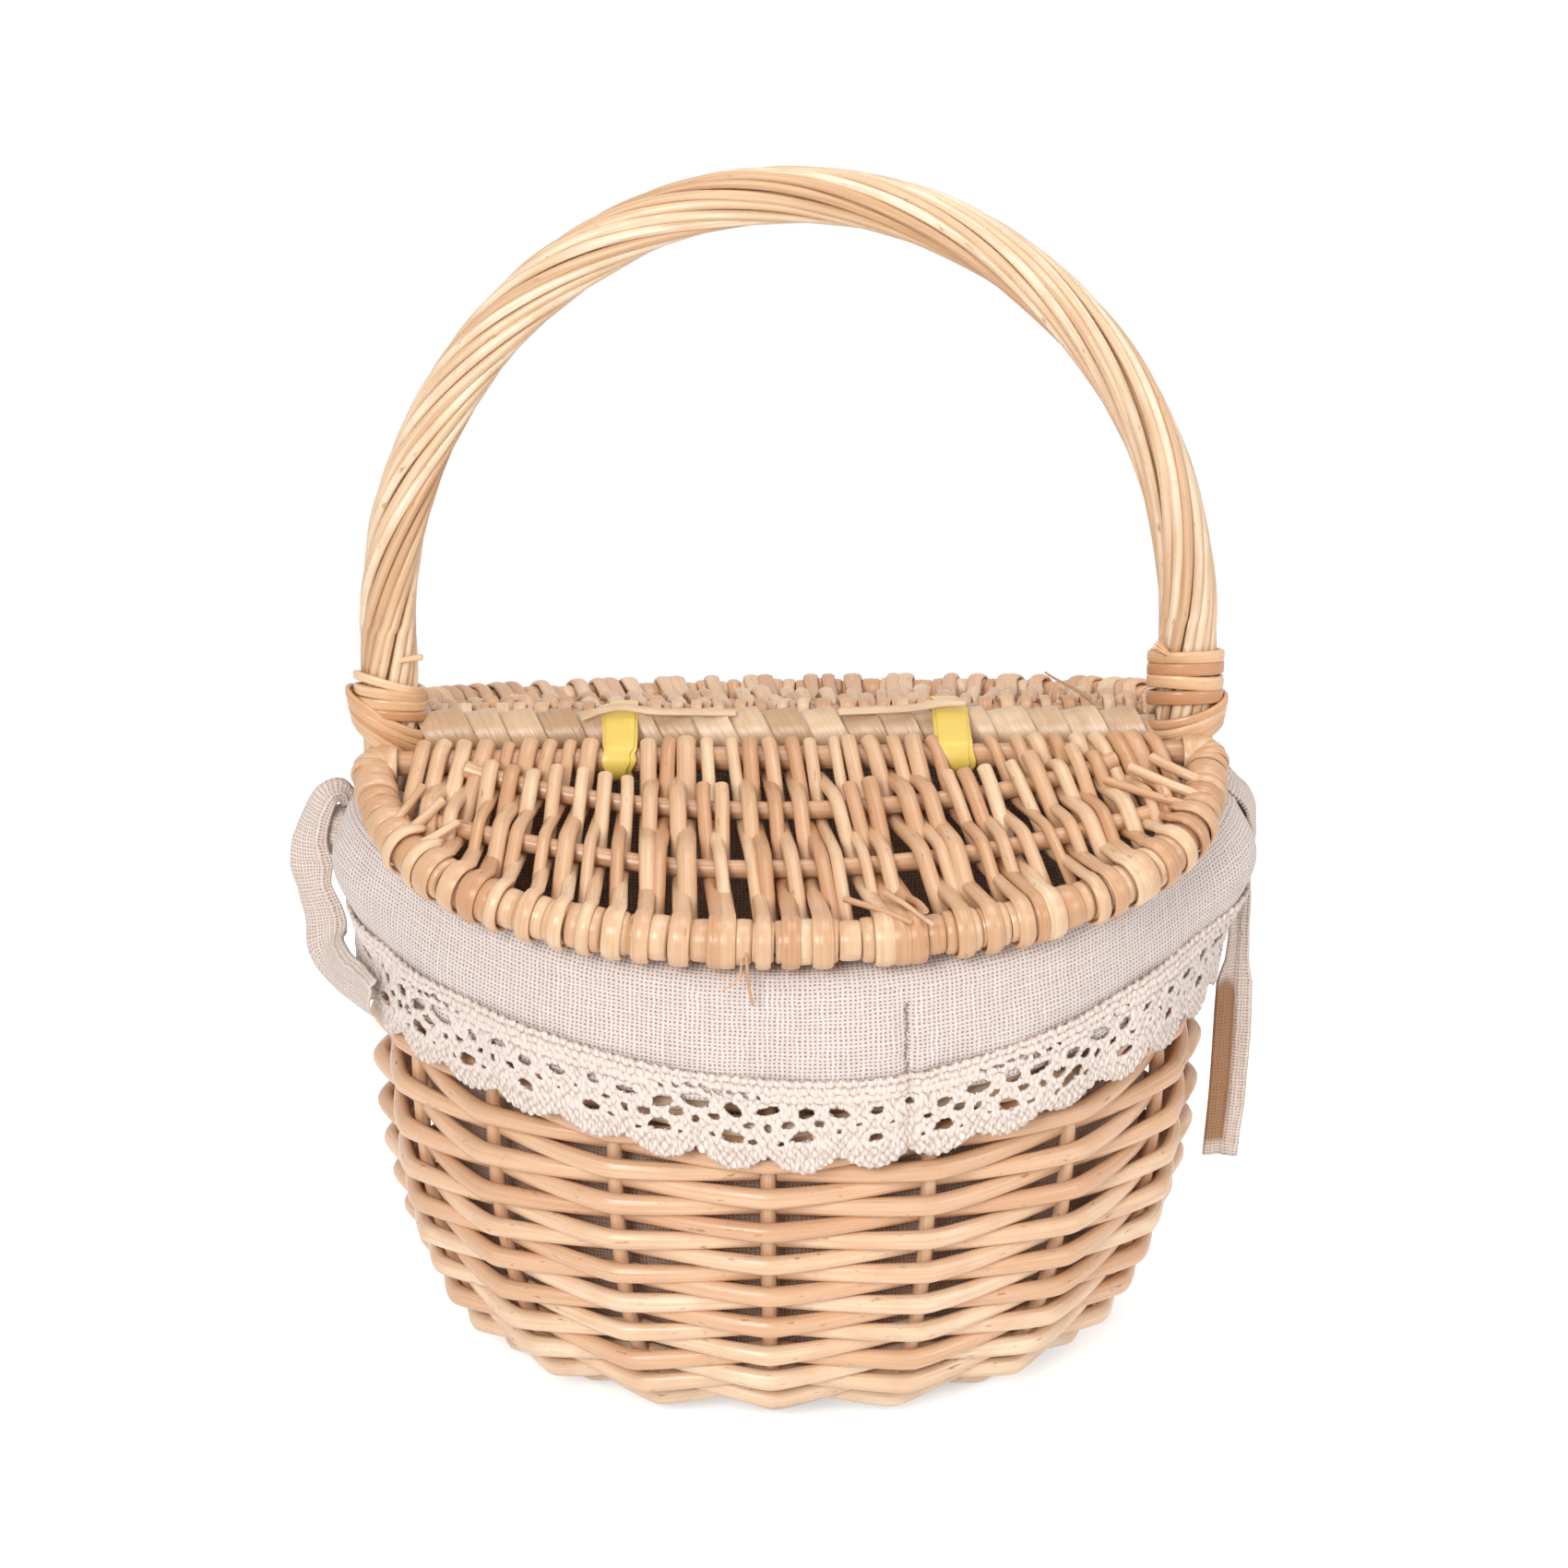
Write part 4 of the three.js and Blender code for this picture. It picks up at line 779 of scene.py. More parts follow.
runs = [sweep([(x, 0, bar_z(x)) for x in (-bar_half, 0, bar_half)], round_section(16) * BAR_R)]
make_piece("cross_bar", runs, WALL_WILLOW, "basket", ["cross_bar"])

# %% Cane band
CANE_PITCH, CANE_WIDE, CANE_THICK, CANE_RIBS = 9.8, 11.4, 0.9, 6
CANE_LEAN = 2.2
OVERLAP = 0.08  # of a turn, hidden under the bar
cane_half = bar_half - 1.5
across = np.linspace(-0.5, 0.5, 17)
# One edge of the band stands higher and laps over the next turn
ribbed = (0.5 * CANE_THICK + 0.04 * np.cos(across * 2 * np.pi * CANE_RIBS) + 1.9 * across
          - 2.0 * across ** 4)
lapped = np.concatenate([
    np.stack([across * CANE_WIDE, ribbed], 1)[::-1],
    [(-0.5 * CANE_WIDE, -0.5 * CANE_THICK - 0.6), (0.5 * CANE_WIDE, -0.5 * CANE_THICK + 0.9)]])
runs = []
turns = int(2 * cane_half / CANE_PITCH)
for i in range(turns):
    t = np.linspace(-OVERLAP, 1 + OVERLAP, 34) * 2 * np.pi
    slant = dice.uniform(0.7, 1.15)
    x = -cane_half + CANE_PITCH * (i + 0.5 + (t / (2 * np.pi) - 0.5) * slant) + dice.uniform(-0.4, 0.4)
    x = x + CANE_LEAN * np.cos(t)
    outs = np.stack([0 * t, np.sin(t), -np.cos(t)], 1)
    away = BAR_R + 0.85 + 0.2 * (t / (2 * np.pi)) + 0.15 * dice.random()
    path = np.stack([x, away * np.sin(t), bar_z(x) - away * np.cos(t)], 1)
    runs.append(sweep(path, lapped * np.array([dice.uniform(0.95, 1.05), 1.0]), outs=outs))

# Two short strips lie on the band and pass over the ties, and one sliver stands off it
LEFT_STRIP = ((-54, -4.2, 178.0), (-49, -4.6, 180.2), (-43, -4.6, 181.0), (-36, -4.2, 179.6),
              (-25, -3.6, 178.9), (-14, -3.0, 178.4))
RIGHT_STRIP = ((13, -3.2, 178.4), (22, -3.8, 178.9), (32, -4.2, 179.5), (40, -4.4, 180.9), (46, -4.4, 181.0))
SLIVER = ((80, 5, 177.6), (75.5, 5, 180.8), (70.5, 5, 183.6), (67.6, 5, 185.6))
STRIP_THICK, STRIP_FACING = 0.7, (0, -0.5, 0.87)
for line, wide in ((LEFT_STRIP, 2.3), (RIGHT_STRIP, 2.5)):
    path = smooth_path(line, 30)
    runs.append(sweep(path, strip_section(wide, STRIP_THICK, 10), outs=STRIP_FACING, tint=0.3))
runs.append(sweep(smooth_path(SLIVER, 12), round_section(6) * 0.5, np.linspace(1.3, 0.5, 12), tint=1.0))
make_piece("cross_bar_cane", runs, CANE, "basket", ["cross_bar_cane"])

# %% Hinge ties
TIES = (("left", -44.0, 0.4), ("right", 41.6, -2.4))  # side, place along the bar, lean
TIE_HINGE_R, TIE_BAR_R = 4.1, 7.3  # the strip runs this far off the middles of the hinge rods and of the bar
TIE_THICK = 0.9
tie_turn = np.linspace(0, 2 * np.pi, 160, endpoint=False)


def tie_line(spread):
    """The outline of a strip drawn round the bar and both hinge rods, seen from the end of the bar."""
    t = tie_turn
    circle = np.stack([np.cos(t), np.sin(t)], 1)
    rods = [(y, HINGE_Z, TIE_HINGE_R) for y in (-HINGE_Y, HINGE_Y)] + [(0, BAR_Z - BAR_DIP / 2, TIE_BAR_R)]
    reach = np.max([circle @ np.array(rod[:2]) + rod[2] + spread for rod in rods], axis=0)
    # The hull's outline from its reach in each direction
    slope = (np.roll(reach, -1) - np.roll(reach, 1)) / (2 * (t[1] - t[0]))
    return reach[:, None] * circle + slope[:, None] * np.stack([-np.sin(t), np.cos(t)], 1), circle


def plastic(name, hex_colour):
    """Extruded polypropylene tape: a smooth satin skin, and light that goes a little way in."""
    material, tree = new_material(name)
    shader = add_node(tree, "ShaderNodeBsdfPrincipled", {
        "Base Color": linear(hex_colour), "Roughness": 0.34, "IOR": 1.49, "Subsurface Weight": 0.15,
        "Subsurface Radius": (2.0 * MM, 1.6 * MM, 0.6 * MM)})
    add_node(tree, "ShaderNodeOutputMaterial", {"Surface": shader})
    return material


TIE_PLASTIC = plastic("yellow_plastic_tape", "#dfc05c")
for name, x, slope in TIES:
    runs = []
    for wide, lean, out, shift in ((7.6, slope, 0.0, 0.0), (6.2, slope + 1.5, 0.8, 0.5)):
        line, outs = tie_line(out)
        along = x + shift + lean * np.cos(tie_turn) + wander(len(tie_turn), 30, 0.25, 7)
        path = np.stack([along, line[:, 0], line[:, 1]], 1)
        facing = np.stack([0 * tie_turn, outs[:, 0], outs[:, 1]], 1)
        size = 1 + 0.22 * np.sin(tie_turn) + 0.10 * np.sin(5 * tie_turn + x)
        runs.append(sweep(path[::2], strip_section(wide, TIE_THICK, 12), size[::2], outs=facing[::2],
                          closed=True))
    make_piece(f"hinge_tie_{name}", runs, TIE_PLASTIC, "basket", [f"hinge_tie_{name}"])

# %% [markdown]
# ## The lids
# Each lid is a bent hoop with a straight hinge rod, two bowed ribs and a fan of short rods. Every other
# rod goes over the hinge rod, under the first rib and over the second, and its neighbours go the other
# way. Their ends are wound round the hoop, so the hoop looks like a row of broad bands. A lid is drawn
# flat, with its hinge rod on the first axis, and then set on its slope. The back lid is drawn in the same
# way and turned half round. It shows the near side of its hinge rod, so bands go round that too.
# A flat panel with a woven pattern could stand for the fan, but light falls between the real rods, so each
# one is drawn as a rod.

# %% Lid frame
HOOP_R, HINGE_R, RIB_R = 3.0, 3.2, 2.4
lid_low, lid_high = (np.array(corner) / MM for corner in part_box("front_lid_hoop"))
LID_LENGTH = lid_high[0] - HOOP_R
LID_DEPTH = (-lid_low[1] - HOOP_R - HINGE_Y) / math.cos(LID_SLOPE)
SQUARENESS = 2.3
PICKET_R = 1.95
TIE_X, TIE_CLEAR = 44.0, 5.6
RIB_SPAN = 86.0
RIB_BOWS = ((22.0, 16.0), (45.5, 18.0))  # distance from the hinge in the middle, and the bow
RIB_HALVES = (84.0, 94.0)


def lid_reach(x):
    return LID_DEPTH * np.maximum(0, 1 - np.abs(x / LID_LENGTH) ** SQUARENESS) ** (1 / SQUARENESS)


def rib_depth(which, x):
    """How far a rib lies from the hinge: both bow outward in the middle, and 0 is the inner one."""
    middle, bow = RIB_BOWS[which]
    return middle - bow * (x / RIB_SPAN) ** 2


def rib_lift(which, x):
    """The inner rib's thin ends come up through the fan."""
    return 3.5 * (x / RIB_SPAN) ** 4 * (which == 0)


def fan_lean(x):
    """How far a rod of the fan leans along the hinge for each millimetre that it reaches out."""
    return 0.42 * math.tanh((x + 24) / 85)


def lid_to_basket(side, points):
    """From along the hinge, out from it and up off the lid, to the basket's frame."""
    facing = 1.0 if side == "front" else -1.0
    x, u, n = np.moveaxis(np.asarray(points, float), -1, 0)
    c, s = math.cos(LID_SLOPE), math.sin(LID_SLOPE)
    return np.stack([facing * x, facing * (-HINGE_Y - u * c - n * s), HINGE_Z - u * s + n * c], -1)


def lid_way(side, ways):
    return lid_to_basket(side, ways) - lid_to_basket(side, np.zeros(3))


hoop_turn = np.linspace(0, np.pi, 400)
hoop_flat = np.stack([
    LID_LENGTH * np.sign(np.cos(hoop_turn)) * np.abs(np.cos(hoop_turn)) ** (2 / SQUARENESS),
    LID_DEPTH * np.sin(hoop_turn) ** (2 / SQUARENESS), 0 * hoop_turn], 1)
hoop_run = run_along(hoop_flat)
print("lid", round(2 * LID_LENGTH), "mm long and", round(LID_DEPTH), "mm deep")

# %% Bends of a lid's rods
def hoop_at(along):
    return np.stack([np.interp(along, hoop_run, hoop_flat[:, k]) for k in range(3)], -1)


BEND = 5.0  # millimetres over which a lid's rod bends


def bent_path(line, count):
    """Straight runs between points with a tight bend at each."""
    line = np.asarray(line, float)
    run = run_along(line)
    at = np.linspace(0, run[-1], 8 * count)
    fine = np.stack([np.interp(at, run, line[:, k]) for k in range(3)], 1)
    half = max(1, int(0.5 * BEND / (at[1] - at[0])))
    for _ in range(2):
        before, after = 2 * fine[:1] - fine[half:0:-1], 2 * fine[-1:] - fine[-2:-half - 2:-1]
        padded = np.concatenate([before, fine, after])
        total = np.cumsum(np.concatenate([np.zeros((1, 3)), padded]), axis=0)
        fine = (total[2 * half + 1:] - total[:-2 * half - 1]) / (2 * half + 1)
    return fine[np.linspace(0, len(fine) - 1, count).astype(int)]


def hoop_facing(x, u):
    """The way out from the hoop in the lid's plane."""
    power = SQUARENESS - 1
    along = np.sign(x) * (abs(x) / LID_LENGTH) ** power / LID_LENGTH
    out = np.array([along, (u / LID_DEPTH) ** power / LID_DEPTH, 0])
    return out / np.linalg.norm(out)


print("rods of a lid bend over", BEND, "mm")

# %% One rod of the fan
UP = np.array([0, 0, 1.0])
# How far out a rod of the fan meets each rib, to start with, and how near to hoop and hinge it passes none
RIB_NEAR, HOOP_CLEAR, HINGE_CLEAR = (20, 42), 12, 7
# A rod's share of its radius across and through, where it lies between the ribs
ROD_ACROSS, ROD_THROUGH = 1.1, 0.88
# The turn round the hoop, in degrees, and how far off the hoop's middle the rod's end is wound
HOOP_TURN, HOOP_OFF = (122, -125), HOOP_R + 3.3
BEATEN_THICK = 0.75


def picket(side, start, over_hinge, from_rib):
    """One short rod of the fan, from the hinge rod or a rib to the hoop, and round it if it is over."""
    lean = fan_lean(start) + dice.uniform(-0.05, 0.05)
    end = LID_DEPTH
    for _ in range(14):
        end = 0.5 * (end + float(lid_reach(min(abs(start + lean * end), LID_LENGTH - 1))))
    radius = PICKET_R * dice.triangular(0.66, 1.24, 0.95)
    level = 1 if over_hinge else -1

    def at(u, n):
        return (start + lean * u + dice.uniform(-0.3, 0.3), u, n)

    line = []
    if side == "back":
        # Its rods come out from under the bands that go round the hinge rod
        line.append(at(0, level * 0.5 * HINGE_R))
        line.append(at(4.5, level * (HINGE_R + 0.3 * radius)))
    elif not from_rib:
        line.append(at(-1.6 - dice.uniform(0, 0.9), level * (HINGE_R + 0.5 * radius)))
        line.append(at(0.6, level * (HINGE_R + 0.8 * radius)))
    for which in (0, 1):
        u = float(rib_depth(which, start + lean * RIB_NEAR[which]))
        if u > end - HOOP_CLEAR or u < HINGE_CLEAR:
            continue
        level = -level
        height = rib_lift(which, start + lean * u) + level * (RIB_R + radius)
        if from_rib and not line:
            line.append(at(u - 4 - dice.uniform(0, 1.5), height + 0.4))
        line.append(at(u, height))
    foot = np.array([start + lean * end, end, 0])
    out = hoop_facing(*foot[:2])
    between = [ROD_ACROSS * radius, ROD_THROUGH * radius]
    if level > 0:
        line.append(tuple(foot - 3.0 * out - UP * (HOOP_R + 0.6 * radius)))
        path = bent_path(line, 34)
        outs = np.tile(UP, (len(path), 1))
        sizes = np.tile(between, (len(path), 1))
    else:
        # Over the hoop the rod is beaten flat and wound round it
        turn = np.radians(np.linspace(*HOOP_TURN, 16))
        facing = np.cos(turn)[:, None] * out + np.sin(turn)[:, None] * UP
        arc = foot + facing * HOOP_OFF
        path = np.concatenate([bent_path(line + [tuple(arc[0])], 30), arc[1:]])
        outs = np.concatenate([np.tile(UP, (30, 1)), facing[1:]])
        flat = np.clip((np.arange(len(path)) - 20) / 12, 0, 1)[:, None]
        sizes = (1 - flat) * between + flat * [dice.uniform(1.7, 2.7), BEATEN_THICK]
    path = lid_to_basket(side, path)
    return sweep(path, round_section(12), sizes, outs=lid_way(side, outs))


def beside_tie(x):
    """True for a rod that would come up under one of the plastic ties."""
    return abs(abs(x) - TIE_X) < TIE_CLEAR


print("ends of the fan's rods go round the hoop", HOOP_OFF, "mm off its middle")

# %% Lid rods
OVER_HINGE, UNDER_HINGE = 37, 31  # rods that start over the hinge rod, and under it
OVER_SPAN, UNDER_SPAN = 190, 176  # their spread along the hinge
# Near the middle, this share of the rods under the hinge rod start at the inner rib instead
SHORT_SHARE, SHORT_REACH = 0.55, 75
BAND_REACH = 96.0
# Short rods at the corners, from the hoop inward (along the hinge, out from it)
CORNER_TWIGS = (((-104, 32), (-95, 16)), ((-100, 34), (-90, 22)), ((-98, 39), (-86, 31)),
                ((105, 28), (80, 17)), ((107, 24), (87, 12)), ((108, 18), (93, 8)))
# Two split fibres that hang from the hoop, and three thin ends that lie on the fan beside it
LOOSE_ENDS = ((((-14, 79, 1), (-13.6, 82, -6), (-12.4, 83, -13)), 0.5),
              (((-15, 79, 0), (-16, 82, -5), (-20, 83, -8)), 0.3),
              (((11, 63, 4.4), (19, 70, 6.6), (27, 76, 7.2)), 0.9),
              (((21, 62, 5.2), (26, 69, 7.0), (32, 77, 7.4)), 0.8),
              (((27, 64, 5.0), (29, 70, 8.4), (30.5, 75, 10.0)), 1.1))


def front_ends():
    """The front lid's corner twigs and loose ends."""
    runs = []
    for foot, tip in CORNER_TWIGS:
        middle = 0.5 * (np.array(foot) + tip) + (0, 1.5)
        line = [(*foot, 3.2), (*middle, 4.6), (*tip, 4.8)]
        path = lid_to_basket("front", smooth_path(line, 12))
        runs.append(sweep(path, round_section(9) * dice.uniform(1.1, 1.5)))
    for line, size in LOOSE_ENDS:
        path = lid_to_basket("front", smooth_path(line, 14))
        runs.append(sweep(path, round_section(8) * size, np.linspace(1, 0.7, 14)))
    return runs


def back_bands():
    """The back lid's rods are bent round its hinge rod, and their ends show there as bands."""
    runs = []
    axes = [lid_way("back", axis) for axis in np.eye(3)[[1, 2, 0]]]
    x = -BAND_REACH
    while x < BAND_REACH:
        if not beside_tie(x):
            runs.append(band(lid_to_basket("back", (x, 0, 0)), (HINGE_R + 1.2, HINGE_R + 1.4),
                             dice.uniform(-0.7, 0.7), strip_section(dice.uniform(2.9, 3.8), 1.5, 10, 0.6),
                             axes, steps=20))
        x += dice.uniform(4.6, 6.4)
    return runs


def lid_runs(side):
    """The hoop, hinge rod and ribs, and the fan of rods woven through them."""
    rod_half = LID_LENGTH - HOOP_R
    line = np.array([(x, 0, 0) for x in np.linspace(-rod_half, rod_half, 20)])
    runs = [sweep(lid_to_basket(side, hoop_flat[::5]), round_section(10) * HOOP_R),
            sweep(lid_to_basket(side, line), round_section(14) * HINGE_R, tint=0.85)]
    for which, half in enumerate(RIB_HALVES):
        x = np.linspace(-half, half, 40)
        u = np.minimum(rib_depth(which, x), lid_reach(x) - 1)
        line = np.stack([x, u, rib_lift(which, x) + wander(40, 12, 0.25, which + 5)], 1)
        runs.append(sweep(lid_to_basket(side, line), round_section(10) * RIB_R, tint=0.75))
    for i in range(OVER_HINGE):
        start = -OVER_SPAN / 2 + OVER_SPAN * i / (OVER_HINGE - 1) + dice.uniform(-0.8, 0.8)
        runs.append(picket(side, start, True, beside_tie(start)))
    for i in range(UNDER_HINGE):
        start = -UNDER_SPAN / 2 + UNDER_SPAN * i / (UNDER_HINGE - 1) + dice.uniform(-0.8, 0.8)
        from_rib = beside_tie(start) or (dice.random() < SHORT_SHARE and abs(start) < SHORT_REACH)
        runs.append(picket(side, start, False, from_rib))
    return runs + (front_ends() if side == "front" else back_bands())


print(OVER_HINGE + UNDER_HINGE, "rods in each lid")

# %% Lid bands
BAND_WIDTHS = (3.4, 4.2, 4.8, 5.4, 6.4)
HOOP_END = 9.0  # the bands start this far from the hoop's ends, where the fans are
FAN_STRIPS, FAN_OUT = 6, 4.6


def hoop_wraps(side):
    """The bands along the hoop, and the fans that bind its ends to the hinge rod."""
    runs = []
    along = HOOP_END
    while along < hoop_run[-1] - HOOP_END:
        wide = dice.choice(BAND_WIDTHS)
        middle = along + wide / 2
        centre = hoop_at(middle)
        way = unit(hoop_at(middle + 1) - hoop_at(middle - 1))
        out = np.cross(way, UP)
        axes = [lid_way(side, axis) for axis in (out, UP, way)]
        thick = dice.uniform(2.1, 2.9)
        radius = HOOP_R + thick / 2
        runs.append(band(lid_to_basket(side, centre), (radius, radius), dice.uniform(-0.5, 0.5),
                         strip_section(wide * 1.04, thick, 10, 0.62), axes, steps=20))
        along += wide
    for end in (-1, 1):
        inner = np.array([end * (LID_LENGTH - FAN_OUT), 5.6, 0])
        for i in range(FAN_STRIPS):
            lean = math.radians(10 - 100 * i / (FAN_STRIPS - 1))
            way = np.array([-end * math.sin(lean), math.cos(lean), 0.0])
            out = np.array([end * math.cos(lean), math.sin(lean), 0.0])
            axes = [lid_way(side, axis) for axis in (out, UP, way)]
            bulge = 1.1 * math.sin(math.pi * i / (FAN_STRIPS - 1))
            centre = inner + out * (FAN_OUT + bulge)
            runs.append(band(lid_to_basket(side, centre), (5.0, 4.3 + 0.2 * (i % 2)), 0.0, skein(2.7, 1.2),
                             axes, steps=24))
    return runs


for side in ("front", "back"):
    make_piece(f"{side}_lid_rods", lid_runs(side), LID_WILLOW, f"{side}_lid",
               [f"{side}_lid_{part}" for part in ("hoop", "hinge_rod", "rib_inner", "rib_outer")])
    make_piece(f"{side}_lid_wraps", hoop_wraps(side), LID_WILLOW, f"{side}_lid",
               [f"{side}_lid_weave"])

# %% [markdown]
# ## Linen
# The liner is a loosely woven linen: one can count the threads and see tan shadow in the gaps between
# them. Cloth notes its own place in millimetres in an attribute, so the threads run along the cuff. The
# threads of such cloth are about 1 mm apart, and they are drawn at that size: a little wider in the liner
# and a little finer in the ribbons. A mesh of every thread would need millions of faces, so the shader
# draws them.

# %% Cloth helpers
LINER_THREAD, RIBBON_THREAD = 1.05, 0.9
WAVES = 14


def grid_faces(rows, columns, closed):
    """Four-sided faces between the points of a grid; a closed grid joins its last column to its first."""
    index = np.arange(rows * columns).reshape(rows, columns)
    nexts = np.roll(index, -1, 1) if closed else index[:, 1:]
    heres = index if closed else index[:, :-1]
    return np.stack([heres[:-1], heres[1:], nexts[1:], nexts[:-1]], -1).reshape(-1, 4)


def cloth_mesh(name, points, faces, notes):
    mesh = bpy.data.meshes.new(name)
    mesh.from_pydata((points * MM).tolist(), [], faces.tolist())
    set_notes(mesh, "cloth", "FLOAT_VECTOR", "vector", notes.ravel())
    return mesh


def make_sheet(name, grid, material, thick, notes, closed=False, drop_face=None):
    """A linen sheet of the basket from a grid of points (rows of columns) in millimetres."""
    flat = grid.reshape(-1, 3)
    faces = grid_faces(*grid.shape[:2], closed)
    if drop_face is not None:
        faces = faces[~drop_face(flat[faces].mean(1))]
    mesh = cloth_mesh(name, flat, faces, notes)
    return place_piece(name, mesh, material, "basket", [name], thick)


def ripple(angle, down, seed):
    """Soft unevenness of hanging cloth: a few waves of random place and length, in millimetres."""
    source = np.random.default_rng(seed)
    total = np.zeros(np.broadcast(angle, down).shape)
    for _ in range(WAVES):
        turns, drift, phase = source.integers(3, 26), source.normal(0, 0.06), source.uniform(0, 6.28)
        total += source.normal(0, 1) * np.sin(turns * angle + drift * down + phase) / math.sqrt(WAVES)
    return total


print("threads of the liner", LINER_THREAD, "mm apart, of the ribbons", RIBBON_THREAD, "mm")

# %% Linen
SLUB_LONG, SLUB_WIDE = 0.08, 0.9  # swellings in a millimetre, along a thread and across it
WAYWARD, WAYWARD_OFTEN = 0.9, 0.35  # threads stray by up to this many millimetres, so often in a millimetre


def linen(name, pitch, highlight_hex, thread_hex, gap_hex, painted_shade_hex):
    """Plain weave with threads at a pitch; where the third note is 1 it is painted darker, as painted shade.
    """
    material, tree = new_material(name)
    place = add_node(tree, "ShaderNodeAttribute", attribute_name="cloth").outputs["Vector"]
    sway = add_node(tree, "ShaderNodeTexNoise", {"Vector": place, "Scale": WAYWARD_OFTEN, "Detail": 2.0})
    stray = add_node(tree, "ShaderNodeVectorMath", {
        0: sway.outputs["Color"], 1: (WAYWARD, WAYWARD, 0)}, operation="MULTIPLY")
    moved = add_node(tree, "ShaderNodeVectorMath", {0: place, 1: stray}, operation="ADD")
    half_wave = math.pi / pitch
    wave = add_node(tree, "ShaderNodeVectorMath", {
        0: moved, 1: (half_wave, half_wave, 0)}, operation="MULTIPLY")
    for operation in ("SINE", "ABSOLUTE"):
        wave = add_node(tree, "ShaderNodeVectorMath", {0: wave}, operation=operation)
    parts = add_node(tree, "ShaderNodeSeparateXYZ", {0: wave}).outputs
    # Slubs: each thread swells and thins along its run, over about 12 mm
    threads = []
    for part, per_mm in ((parts[0], (SLUB_WIDE, SLUB_LONG, 1)), (parts[1], (SLUB_LONG, SLUB_WIDE, 1))):
        along = add_node(tree, "ShaderNodeVectorMath", {0: place, 1: per_mm}, operation="MULTIPLY")
        slub = add_node(tree, "ShaderNodeTexNoise", {"Vector": along, "Scale": 1.0, "Detail": 2.0})
        swell = add_node(tree, "ShaderNodeMath", {0: slub, 1: 0.55, 2: 0.24}, operation="MULTIPLY_ADD")
        threads.append(add_node(tree, "ShaderNodeMath", {0: part, 1: swell}, operation="MULTIPLY"))
    height = add_node(tree, "ShaderNodeMath", {0: threads[0], 1: threads[1]}, operation="MAXIMUM")
    # Painted shade in the gaps between threads and a painted highlight on the threads' crowns
    colour = add_node(tree, "ShaderNodeValToRGB", {"Fac": height}, [
        (0.13, gap_hex), (0.34, thread_hex), (0.62, highlight_hex)])
    # Where the third note is 1 the cloth is painted darker and warmer, with darker gaps: painted shade
    painted_shade = add_node(tree, "ShaderNodeValToRGB", {"Fac": height}, [(0.10, "#7a5236"), (0.45, painted_shade_hex)])
    kind = add_node(tree, "ShaderNodeSeparateXYZ", {0: place}).outputs["Z"]
    colour = add_node(tree, "ShaderNodeMix", {0: kind, 6: colour, 7: painted_shade}, data_type="RGBA").outputs[2]
    bump = add_node(tree, "ShaderNodeBump", {"Height": height, "Strength": 0.6, "Distance": 0.5 * MM})
    shader = add_node(tree, "ShaderNodeBsdfPrincipled", {
        "Base Color": colour, "Roughness": 0.88, "Normal": bump, "Specular IOR Level": 0.25,
        "Sheen Weight": 0.25, "Sheen Roughness": 0.5})
    add_node(tree, "ShaderNodeOutputMaterial", {"Surface": shader})
    return material


# The last colour is the painted shade of the bag inside the wall
LINEN = linen("plain_woven_linen", LINER_THREAD, "#e1d5d0", "#cbbcb5", "#715b4d", "#ccae9b")
print(LINEN.name)

# %% [markdown]
# ## The liner
# The liner is one sheet: a flat floor, a bag that lies loosely inside the wall, a fold over the rim and a
# cuff outside. The rows of its grid follow that order. The cuff hangs in soft waves, swells where the
# ties pull it at the handle's feet and is drawn in along a sewn seam. The sheet is slit where the
# handle's legs come through. A cloth simulation could drape it, but a grid worked out from the wall stays
# where the solids say it is.

# %% Cuff
COLUMNS = 288
CUFF_DROP = 28.0
CLOTH_OFF = REACH + ROD / 2 + 1.0
BAG_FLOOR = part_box("liner")[0][2] / MM + 0.6
FOLD_R = RIM_R + 1.3
SEAM_COLUMN = 83
SETTLE = 16.0  # over this drop the cloth comes down from the fold to lie along the wall
RIPPLE = 0.8
PUCKER, PUCKER_WIDE = 0.8, 5.5
SEAM_DEEP, SEAM_WIDE, SEAM_FADE = 2.2, 1.5, 7.0
# Angle, spread, swell, drop of its middle and half height of the soft pouch at each end
POUCHES = ((1.42, 0.24, 11.5, 11, 16), (-1.42, 0.26, 8.4, 8.5, 13.5))
theta = -np.pi / 2 + 2 * np.pi * np.arange(COLUMNS) / COLUMNS


def cuff_swell(angle, drop):
    """The ties pull the cuff into a soft pouch at each end, fuller on the right."""
    total = 0.0
    for place, wide, out, low, deep in POUCHES:
        off = ((angle - place + np.pi) % (2 * np.pi) - np.pi) / wide
        total = total + out * np.exp(-off ** 2 - ((drop - low) / deep) ** 2)
    return total


# The cuff's seam, right of the middle of the front, lies on one of the cloth's columns
SEAM_ANGLE = theta[SEAM_COLUMN]


